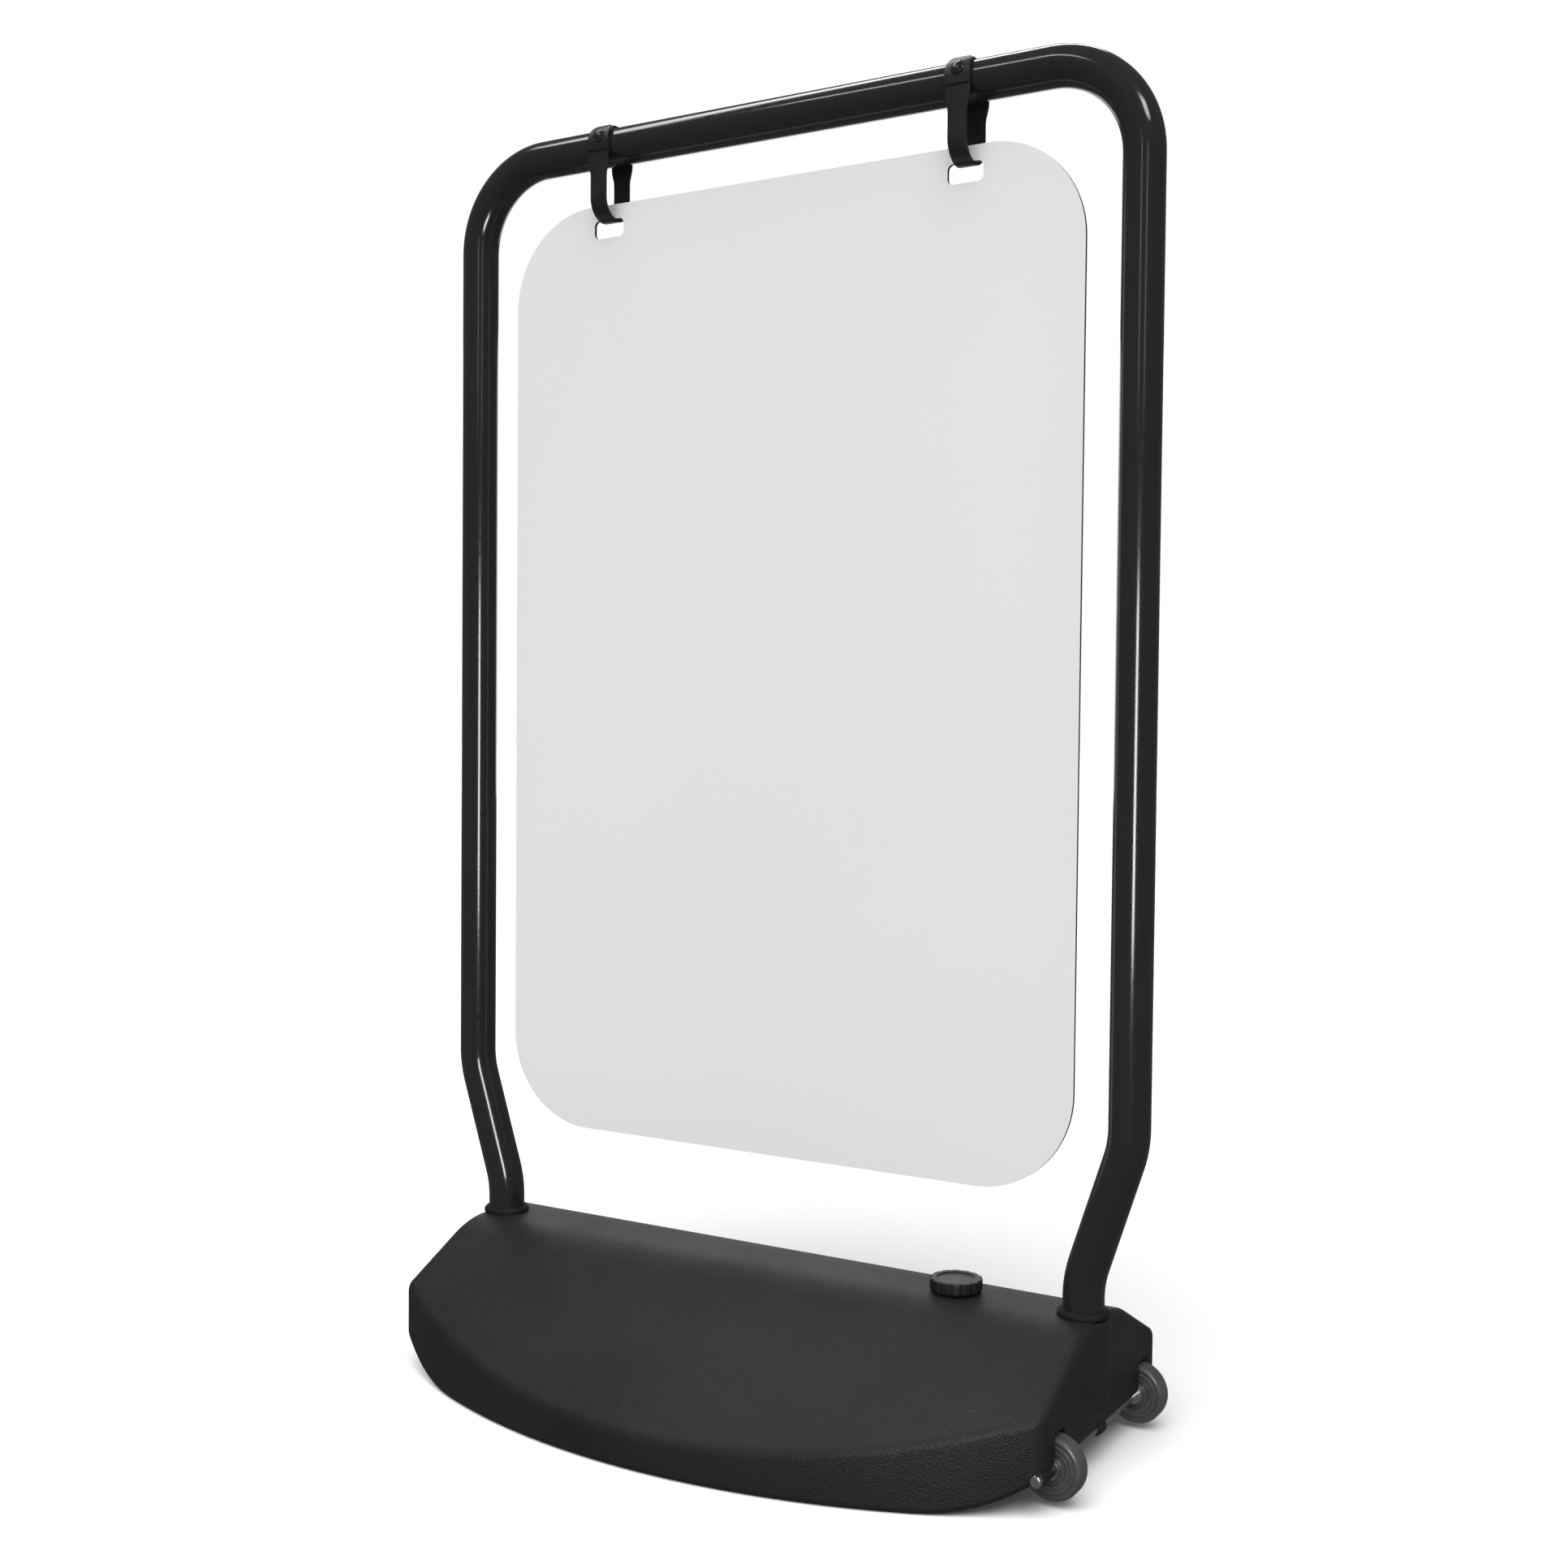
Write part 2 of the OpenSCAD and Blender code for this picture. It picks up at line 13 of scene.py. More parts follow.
import bpy
import numpy as np
from bpy.types import ID, Material, Mesh, Node, NodeSocket, NodeTree, Object
from mathutils import Euler, Matrix, Vector


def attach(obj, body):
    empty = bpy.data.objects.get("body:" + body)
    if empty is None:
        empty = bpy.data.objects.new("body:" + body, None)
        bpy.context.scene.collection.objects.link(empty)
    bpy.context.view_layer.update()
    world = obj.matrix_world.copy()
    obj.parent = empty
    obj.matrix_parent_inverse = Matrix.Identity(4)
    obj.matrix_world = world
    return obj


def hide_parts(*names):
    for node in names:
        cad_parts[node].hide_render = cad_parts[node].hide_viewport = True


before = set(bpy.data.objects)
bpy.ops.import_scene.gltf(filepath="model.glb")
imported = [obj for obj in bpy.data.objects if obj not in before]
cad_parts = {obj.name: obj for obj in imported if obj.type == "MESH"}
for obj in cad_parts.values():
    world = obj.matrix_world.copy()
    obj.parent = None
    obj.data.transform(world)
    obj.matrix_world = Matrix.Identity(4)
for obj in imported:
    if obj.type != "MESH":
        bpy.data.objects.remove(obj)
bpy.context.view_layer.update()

MM = 0.001
LOG = logging.getLogger("pavement_sign")


# ---------- surfaces ----------


def rounded_outline(corners: np.ndarray, radii: np.ndarray, steps: int, closed: bool) -> np.ndarray:
    """A polyline with each corner replaced by a circular arc that touches both its sides.

    Formula: the arc starts a tangent length, radius times the tangent of half the turn,
    before the corner, and turns about a centre one radius to the inner side.

    Args:
        corners: the corner points, one row each.
        radii: an arc radius for each corner; 0 keeps the corner sharp.
        steps: segments in each arc.
        closed: whether the last corner joins the first.

    Returns:
        The points of the outline, one row each.
    """
    count = len(corners)
    before = np.roll(corners, 1, axis=0)
    after = np.roll(corners, -1, axis=0)
    rows: list[np.ndarray] = []
    for i in range(count):
        end = not closed and i in (0, count - 1)
        if end or radii[i] <= 0:
            rows.append(corners[i][None, :])
            continue
        a = (corners[i] - before[i]) / np.linalg.norm(corners[i] - before[i])
        b = (after[i] - corners[i]) / np.linalg.norm(after[i] - corners[i])
        turn = math.atan2(a[0] * b[1] - a[1] * b[0], float(a @ b))
        start = corners[i] - a * radii[i] * math.tan(abs(turn) / 2)
        side = np.array([-a[1], a[0]]) * math.copysign(1.0, turn)
        centre = start + side * radii[i]
        angle = np.linspace(0.0, turn, steps + 1)
        spoke = -side * radii[i]
        cos, sin = np.cos(angle), np.sin(angle)
        arc = [spoke[0] * cos - spoke[1] * sin, spoke[0] * sin + spoke[1] * cos]
        rows.append(centre + np.stack(arc, axis=1))
    return np.concatenate(rows)


def circle_points(radius: float, angle: np.ndarray) -> np.ndarray:
    """Points on a circle about the origin at the given angles, one row each."""
    return np.stack([radius * np.cos(angle), radius * np.sin(angle)], axis=1)


def grid_faces(rows: int, cols: int, close_rows: bool, close_cols: bool) -> np.ndarray:
    """Quads over a grid of points stored row by row.

    Args:
        rows: how many rows the grid has.
        cols: points in a row.
        close_rows: whether the last row joins the first.
        close_cols: whether each row's last point joins its first.

    Returns:
        Four indices a quad, one quad a row.
    """
    down = np.arange(rows if close_rows else rows - 1)
    along = np.arange(cols if close_cols else cols - 1)
    i, j = (index.ravel() for index in np.meshgrid(down, along, indexing="ij"))
    k, m = (i + 1) % rows, (j + 1) % cols
    return np.stack([i * cols + j, i * cols + m, k * cols + m, k * cols + j], axis=1)


def link_object(name: str, data: ID) -> Object:
    """A new object linked to the scene."""
    obj = bpy.data.objects.new(name, data)
    bpy.context.scene.collection.objects.link(obj)
    return obj


def mesh_object(
    name: str, points: np.ndarray, faces: list[list[int]], sharp_deg: float = 35.0
) -> Object:
    """A smooth-shaded object from points in millimetres, its normals turned outwards.

    Args:
        name: the object's name.
        points: one point a row, in millimetres.
        faces: the point indices of each face.
        sharp_deg: edges that turn by more than this are shaded sharp.

    Returns:
        The new object, at the origin and linked to the scene.
    """
    mesh = bpy.data.meshes.new(name)
    mesh.from_pydata((points * MM).tolist(), [], faces)
    mesh.validate()
    obj = link_object(name, mesh)
    turn_outwards(mesh)
    shade(mesh, sharp_deg)
    return obj


def turn_outwards(mesh: Mesh) -> None:
    """Turns a closed mesh the right way out, by the sign of the volume that its faces enclose."""
    mesh.calc_loop_triangles()
    co = np.empty(len(mesh.vertices) * 3)
    mesh.vertices.foreach_get("co", co)
    co = co.reshape(-1, 3)
    tri = np.empty(len(mesh.loop_triangles) * 3, dtype=np.int32)
    mesh.loop_triangles.foreach_get("vertices", tri)
    a, b, c = (co[tri.reshape(-1, 3)[:, k]] for k in range(3))
    if np.einsum("ij,ij->i", a, np.cross(b, c)).sum() < 0:
        mesh.flip_normals()


def shade(mesh: Mesh, sharp_deg: float) -> None:
    """Shades a mesh smooth, except over edges that turn by more than the given angle."""
    mesh.shade_smooth()
    mesh.set_sharp_from_angle(angle=math.radians(sharp_deg))


def sweep(name: str, rings: np.ndarray, close_path: bool, sharp_deg: float) -> Object:
    """A closed tube-like solid through rings of points, an open path ending in a fan at each end.

    Args:
        name: the object's name.
        rings: points indexed by ring, place in the ring and coordinate, in millimetres.
        close_path: whether the last ring joins the first.
        sharp_deg: edges that turn by more than this are shaded sharp.

    Returns:
        The new object.
    """
    rows, cols, _ = rings.shape
    points = rings.reshape(-1, 3)
    faces = grid_faces(rows, cols, close_path, True).tolist()
    if not close_path:
        middle = np.stack([rings[0].mean(axis=0), rings[-1].mean(axis=0)])
        points = np.concatenate([points, middle])
        low, high = rows * cols, rows * cols + 1
        last = (rows - 1) * cols
        faces += [[low, (j + 1) % cols, j] for j in range(cols)]
        faces += [[high, last + j, last + (j + 1) % cols] for j in range(cols)]
    return mesh_object(name, points, faces, sharp_deg)


@dataclass(frozen=True)
class Placement:
    """Where a turned piece stands: a point on its axis, and the axis's direction.

    Attributes:
        origin: a point on the axis, in millimetres.
        axis: the direction that the profile's second number runs in.
    """

    origin: tuple[float, float, float]
    axis: tuple[float, float, float] = (0.0, 0.0, 1.0)

    def matrix(self) -> np.ndarray:
        """Three columns: two directions across the axis, then the axis."""
        axis = np.array(self.axis, float) / np.linalg.norm(self.axis)
        helper = np.array([1.0, 0.0, 0.0]) if abs(axis[0]) < 0.9 else np.array([0.0, 1.0, 0.0])
        across = helper - axis * float(helper @ axis)
        across /= np.linalg.norm(across)
        return np.stack([across, np.cross(axis, across), axis], axis=1)

    def put(self, local: np.ndarray) -> np.ndarray:
        """Local points, the last coordinate along the axis, moved to their place."""
        return local @ self.matrix().T + np.array(self.origin, float)


@dataclass(frozen=True)
class Flutes:
    """Grip flutes down the side of a turned piece.

    Attributes:
        number: how many there are.
        depth: how deep they are.
        inside: the radius inside which nothing is fluted.
        blend: the run of radius over which they come in.
        power: how narrow each one is.
    """

    number: int
    depth: float
    inside: float
    blend: float = 1.2
    power: float = 1.5


def turned(
    name: str,
    profile: np.ndarray,
    place: Placement,
    segments: int = 96,
    closed: bool = True,
    flutes: Optional[Flutes] = None,
    sharp_deg: float = 35.0,
) -> Object:
    """A turned solid: a profile of radius and height carried round an axis.

    Formula: the point at angle a is (radius cos a, radius sin a, height). With flutes, the
    outer radius loses depth times the cosine of the angle, raised to a power, at each flute.

    Args:
        name: the object's name.
        profile: radius and height, one point a row. An open profile starts and ends on the axis.
        place: where the piece stands.
        segments: steps round the axis.
        closed: whether the profile is a closed loop that stays off the axis.
        flutes: flutes down the side, if it has any.
        sharp_deg: edges that turn by more than this are shaded sharp.

    Returns:
        The new object.
    """
    angle = np.linspace(0.0, 2 * math.pi, segments, endpoint=False)
    ring = profile if closed else profile[1:-1]
    radius = np.repeat(ring[None, :, 0], segments, axis=0)
    if flutes is not None:
        wave = np.clip(np.cos(flutes.number * angle), 0.0, 1.0) ** flutes.power
        weight = np.clip((ring[:, 0] - flutes.inside) / flutes.blend, 0.0, 1.0)
        radius = radius - flutes.depth * wave[:, None] * weight[None, :]
    height = np.repeat(ring[None, :, 1], segments, axis=0)
    local = np.stack([radius * np.cos(angle)[:, None], radius * np.sin(angle)[:, None], height], axis=2)
    cols = len(ring)
    points = local.reshape(-1, 3)
    faces = grid_faces(segments, cols, True, closed).tolist()
    if not closed:
        poles = np.array([[0.0, 0.0, profile[0, 1]], [0.0, 0.0, profile[-1, 1]]])
        points = np.concatenate([points, poles])
        first, last = segments * cols, segments * cols + 1
        starts = [(i * cols, (i + 1) % segments * cols) for i in range(segments)]
        faces += [[first, here, after] for here, after in starts]
        faces += [[last, after + cols - 1, here + cols - 1] for here, after in starts]
    return mesh_object(name, place.put(points), faces, sharp_deg)


def rod(
    name: str,
    place: Placement,
    radius: float,
    span: tuple[float, float],
    rounds: tuple[float, float] = (0.0, 0.0),
    steps: int = 4,
    segments: int = 96,
) -> Object:
    """A solid round bar.

    Args:
        name: the object's name.
        place: where its axis is.
        radius: outside radius.
        span: where it starts and ends along the axis.
        rounds: radius of the edge at its start and at its end.
        steps: segments in each rounded edge.
        segments: steps round the axis.

    Returns:
        The new object.
    """
    low, high = span
    corners = np.array([[0.0, low], [radius, low], [radius, high], [0.0, high]])
    profile = rounded_outline(corners, np.array([0.0, *rounds, 0.0]), steps, False)
    return turned(name, profile, place, segments, False)


def prism(name: str, outline: np.ndarray, low: float, high: float) -> Object:
    """A flat outline in X and Z drawn out along Y from low to high, with flat ends."""
    count = len(outline)
    front = np.stack([outline[:, 0], np.full(count, low), outline[:, 1]], axis=1)
    rear = np.stack([outline[:, 0], np.full(count, high), outline[:, 1]], axis=1)
    faces = grid_faces(2, count, False, True).tolist()
    faces += [list(range(count))[::-1], list(range(count, 2 * count))]
    return mesh_object(name, np.concatenate([front, rear]), faces)


class Cut(Enum):
    """How a tool piece changes the piece that it meets."""

    ADD = "UNION"
    TAKE = "DIFFERENCE"


def carve(piece: Object, tools: list[tuple[Cut, Object]], sharp_deg: float) -> None:
    """Adds and takes away tool pieces in order, then throws the tools away.

    Args:
        piece: the piece to change.
        tools: each tool and how it's used.
        sharp_deg: edges that turn by more than this are shaded sharp.
    """
    for how, tool in tools:
        step = piece.modifiers.new("carve", "BOOLEAN")
        step.operation = how.value
        step.solver = "EXACT"
        step.object = tool
        graph = bpy.context.evaluated_depsgraph_get()
        made = bpy.data.meshes.new_from_object(piece.evaluated_get(graph))
        piece.modifiers.clear()
        old = piece.data
        piece.data = made
        bpy.data.meshes.remove(old)
        bpy.data.objects.remove(tool)
    shade(piece.data, sharp_deg)


# ---------- finishes ----------


class Pattern(Enum):
    """The small relief that a surface carries."""

    PEBBLE = "pebble"
    PEEL = "orange peel"
    MATT = "fine matt"
    BRUSHED = "brushed"
    FILM = "rolled film"


@dataclass(frozen=True)
class Wiring:
    """Short ways to add nodes to a node tree and wire them.

    Attributes:
        tree: the node tree.
    """

    tree: NodeTree

    def feed(self, value: object, target: NodeSocket) -> None:
        """Wires a socket to an input, or gives the input a plain value."""
        if isinstance(value, NodeSocket):
            self.tree.links.new(value, target)
        else:
            target.default_value = value

    def add(self, kind: str, inputs: dict, **settings: object) -> Node:
        """Adds a shader node.

        Args:
            kind: the node's type, without the first part that all of them share.
            inputs: a socket or a plain value for each input, by name or place.
            settings: the node's own options, set before its inputs.

        Returns:
            The node.
        """
        node = self.tree.nodes.new("ShaderNode" + kind)
        for option, value in settings.items():
            setattr(node, option, value)
        for key, value in inputs.items():
            self.feed(value, node.inputs[key])
        return node

    def math(self, kind: str, *values: object) -> NodeSocket:
        """The output of a Math node on sockets or numbers."""
        return self.add("Math", dict(enumerate(values)), operation=kind).outputs[0]

    def ramp(
        self, value: object, start: float, end: float, low: float = 0.0, high: float = 1.0
    ) -> NodeSocket:
        """A value's run from start to end, carried over to the run from low to high."""
        inputs = {"Value": value, "From Min": start, "From Max": end, "To Min": low, "To Max": high}
        return self.add("MapRange", inputs).outputs["Result"]

    def blend(self, amount: object, first: object, second: object) -> NodeSocket:
        """A colour mixed from two by an amount from 0 to 1."""
        inputs = {"Factor": amount, "A": first, "B": second}
        return self.add("Mix", inputs, data_type="RGBA").outputs["Result"]


class EffectGroups:
    """Shader node groups that several finishes use, each built once."""

    def __init__(self) -> None:
        """Builds every group."""
        self.relief = {p: self._relief(p) for p in Pattern}
        self.soil = self._soil()

    @staticmethod
    def _group(
        name: str, inputs: dict[str, float], outputs: list[str]
    ) -> tuple[Wiring, Node, Node]:
        """An empty group with a vector input, number inputs and number outputs.

        Args:
            name: the group's name.
            inputs: the number inputs and their defaults.
            outputs: the number outputs.

        Returns:
            The group's wiring, its input node and its output node.
        """
        tree = bpy.data.node_groups.new(name, "ShaderNodeTree")
        tree.interface.new_socket("Vector", in_out="INPUT", socket_type="NodeSocketVector")
        for label, value in inputs.items():
            socket = tree.interface.new_socket(label, in_out="INPUT", socket_type="NodeSocketFloat")
            socket.default_value = value
        for label in outputs:
            tree.interface.new_socket(label, in_out="OUTPUT", socket_type="NodeSocketFloat")
        return Wiring(tree), tree.nodes.new("NodeGroupInput"), tree.nodes.new("NodeGroupOutput")

    def _relief(self, pattern: Pattern) -> NodeTree:
        """A group that gives a relief's height and a fleck mask.

        The height is cell distance for pebbles, low noise for orange peel, fine noise for
        matt and film, and noise drawn out along one axis for brushed metal.

        Args:
            pattern: which relief.

        Returns:
            The group, with Vector and Scale in, Height and Fleck out.
        """
        wires, enter, leave = self._group("relief " + pattern.value, {"Scale": 1000.0}, ["Height", "Fleck"])
        vector, scale = enter.outputs["Vector"], enter.outputs["Scale"]
        if pattern is Pattern.BRUSHED:
            vector = wires.add("Mapping", {"Vector": vector, "Scale": (1.0, 0.05, 1.0)}).outputs["Vector"]
        detail = {Pattern.PEEL: 1.0, Pattern.FILM: 2.0}.get(pattern, 3.0)
        noise = wires.add("TexNoise", {"Vector": vector, "Scale": scale, "Detail": detail}).outputs["Fac"]
        height = noise
        if pattern is Pattern.PEBBLE:
            inputs = {"Vector": vector, "Scale": scale, "Smoothness": 0.6}
            cells = wires.add("TexVoronoi", inputs, feature="SMOOTH_F1")
            dome = wires.math("SUBTRACT", 1.0, cells.outputs["Distance"])
            height = wires.math("ADD", dome, wires.math("MULTIPLY", noise, 0.5))
        wires.feed(height, leave.inputs["Height"])
        wires.feed(wires.ramp(noise, 0.56, 0.72), leave.inputs["Fleck"])
        return wires.tree

    def _soil(self) -> NodeTree:
        """A group that gives broad handling marks and sparse scuffs.

        Marks are low noise. Scuffs are thin bands where a stretched noise crosses its
        middle, kept only inside a sparse patch mask.

        Returns:
            The group, with Vector and Patch Size in, Marks and Scuffs out.
        """
        wires, enter, leave = self._group("handling marks", {"Patch Size": 0.08}, ["Marks", "Scuffs"])
        vector = enter.outputs["Vector"]
        scale = wires.math("DIVIDE", 1.0, enter.outputs["Patch Size"])
        inputs = {"Vector": vector, "Scale": scale, "Detail": 4.0, "Roughness": 0.6}
        marks = wires.add("TexNoise", inputs).outputs["Fac"]
        inputs = {"Vector": vector, "Rotation": (0.3, 0.5, 0.6), "Scale": (1.0, 9.0, 5.0)}
        drawn = wires.add("Mapping", inputs).outputs["Vector"]
        inputs = {"Vector": drawn, "Scale": wires.math("MULTIPLY", scale, 2.0), "Detail": 2.0}
        streak = wires.add("TexNoise", inputs).outputs["Fac"]
        off = wires.math("ABSOLUTE", wires.math("SUBTRACT", streak, 0.5))
        wires.feed(marks, leave.inputs["Marks"])
        scuffs = wires.math("MULTIPLY", wires.ramp(off, 0.006, 0.0), wires.ramp(marks, 0.6, 0.68))
        wires.feed(scuffs, leave.inputs["Scuffs"])
        return wires.tree


@dataclass(frozen=True)
class Finish:
    """One surface finish, made from the shared effect groups.

    Attributes:
        name: the finish's name.
        dark: linear colour in the mottle's dark parts.
        light: linear colour in its light parts.
        rough: lowest and highest roughness.
        pattern: the small relief.
        grain_mm: size of the relief's grain.
        depth_mm: height of the relief.
        patch_mm: size of the broad marks.
        scuff: how much scuffs lighten the colour.
        metallic: 1 for bare metal.
        coat: weight of a clear gloss coat.
        coat_rough: roughness of that coat.
        specular: specular level of the base.
    """

    name: str
    dark: tuple[float, float, float]
    light: tuple[float, float, float]
    rough: tuple[float, float]
    pattern: Pattern
    grain_mm: float
    depth_mm: float
    patch_mm: float = 80.0
    scuff: float = 0.0
    metallic: float = 0.0
    coat: float = 0.0
    coat_rough: float = 0.05
    specular: float = 0.5

    def material(self, groups: EffectGroups) -> Material:
        """Builds the material: marks mix two colours, flecks and marks set the roughness.

        Args:
            groups: the shared effect groups.

        Returns:
            The finished material.
        """
        made = bpy.data.materials.new(self.name)
        made.use_nodes = True
        made.node_tree.nodes.clear()
        wires = Wiring(made.node_tree)
        where = wires.add("TexCoord", {}).outputs["Object"]
        inputs = {"Vector": where, "Scale": 1.0 / (self.grain_mm * MM)}
        relief = wires.add("Group", inputs, node_tree=groups.relief[self.pattern])
        inputs = {"Vector": where, "Patch Size": self.patch_mm * MM}
        soil = wires.add("Group", inputs, node_tree=groups.soil)
        marks = soil.outputs["Marks"]
        colour = wires.blend(wires.ramp(marks, 0.3, 0.7), (*self.dark, 1.0), (*self.light, 1.0))
        if self.scuff > 0:
            worn = (*[min(1.0, c * 1.6 + 0.03) for c in self.light], 1.0)
            colour = wires.blend(wires.math("MULTIPLY", soil.outputs["Scuffs"], self.scuff), colour, worn)
        half = wires.math("MULTIPLY", marks, 0.5)
        gloss = wires.math("MULTIPLY_ADD", relief.outputs["Fleck"], 0.5, half)
        inputs = {"Height": relief.outputs["Height"], "Strength": 1.0, "Distance": self.depth_mm * MM}
        skin = wires.add("BsdfPrincipled", {
            "Base Color": colour,
            "Roughness": wires.ramp(gloss, 0.1, 0.7, self.rough[1], self.rough[0]),
            "Normal": wires.add("Bump", inputs).outputs["Normal"],
            "Metallic": self.metallic,
            "Coat Weight": self.coat,
            "Coat Roughness": self.coat_rough,
            "Specular IOR Level": self.specular,
        })
        wires.add("OutputMaterial", {"Surface": skin.outputs["BSDF"]})
        return made


FINISHES: dict[str, Finish] = {
    "base": Finish("moulded charcoal", (0.0118, 0.0121, 0.0106), (0.0170, 0.0175, 0.0156),
        (0.30, 0.56), Pattern.PEBBLE, 1.2, 0.36, 160.0, 0.35, specular=0.28),
    "cap": Finish("satin black moulding", (0.011, 0.0115, 0.011), (0.016, 0.017, 0.016),
        (0.30, 0.46), Pattern.MATT, 0.7, 0.03, 20.0, 0.2, specular=0.25),
    "seal": Finish("seal rubber", (0.04, 0.04, 0.04), (0.06, 0.06, 0.06),
        (0.6, 0.8), Pattern.MATT, 0.5, 0.03, 10.0),
    "frame": Finish("gloss black powder coat", (0.0140, 0.0160, 0.0150), (0.0165, 0.0185, 0.0175),
        (0.09, 0.16), Pattern.PEEL, 6.0, 0.008, 120.0, 0.1, specular=0.5),
    "rubber": Finish("black rubber", (0.008, 0.008, 0.008), (0.012, 0.012, 0.012),
        (0.55, 0.75), Pattern.MATT, 0.6, 0.04, 15.0, specular=0.2),
    "steel": Finish("bright zinc", (0.50, 0.51, 0.53), (0.66, 0.67, 0.69),
        (0.16, 0.34), Pattern.BRUSHED, 0.4, 0.01, 12.0, metallic=1.0),
    "strap": Finish("satin strap plastic", (0.010, 0.011, 0.010), (0.017, 0.018, 0.017),
        (0.30, 0.46), Pattern.MATT, 0.9, 0.03, 18.0, 0.2, specular=0.3),
    "stud": Finish("gloss stud plastic", (0.010, 0.011, 0.010), (0.014, 0.015, 0.014),
        (0.12, 0.24), Pattern.MATT, 1.2, 0.02, 8.0),
    "panel_core": Finish("black core", (0.016, 0.016, 0.016), (0.026, 0.026, 0.026),
        (0.5, 0.7), Pattern.MATT, 0.5, 0.03, 30.0),
    "panel_skin": Finish("pale grey lacquer", (0.785, 0.785, 0.772), (0.800, 0.800, 0.787),
        (0.34, 0.44), Pattern.FILM, 3.0, 0.006, 300.0),
    "hub": Finish("grey hub moulding", (0.060, 0.062, 0.060), (0.080, 0.082, 0.080),
        (0.26, 0.40), Pattern.MATT, 0.6, 0.02, 12.0, 0.2, coat=0.5, coat_rough=0.16),
    "tyre": Finish("grey tyre rubber", (0.052, 0.054, 0.052), (0.070, 0.072, 0.070),
        (0.28, 0.42), Pattern.MATT, 0.5, 0.02, 14.0, 0.3, coat=0.5, coat_rough=0.18),
}


class Finisher:
    """Dresses pieces and CAD nodes, and ties each piece to its body."""

    def __init__(self) -> None:
        """Builds the effect groups and one material for each of the record's slots."""
        groups = EffectGroups()
        self.materials = {slot: finish.material(groups) for slot, finish in FINISHES.items()}

    def dress(self, obj: Object, slot: str) -> None:
        """Gives an object one finish over all its faces."""
        obj.data.materials.clear()
        obj.data.materials.append(self.materials[slot])

    def piece(self, obj: Object, slot: str, body: str, *nodes: str) -> None:
        """Finishes a new piece.

        Args:
            obj: the piece.
            slot: the record's material slot.
            body: the CAD body that it rides on.
            nodes: the CAD nodes that it stands for.
        """
        self.dress(obj, slot)
        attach(obj, body)
        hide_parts(*nodes)
        LOG.info("%s: %d points, stands for %s", obj.name, len(obj.data.vertices), ", ".join(nodes))

    def keep(self, node: str, slot: str) -> None:
        """Finishes a CAD node that stays in view."""
        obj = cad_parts[node]
        self.dress(obj, slot)
        LOG.info("%s: kept, %s", node, FINISHES[slot].name)


# ---------- sub-assemblies ----------


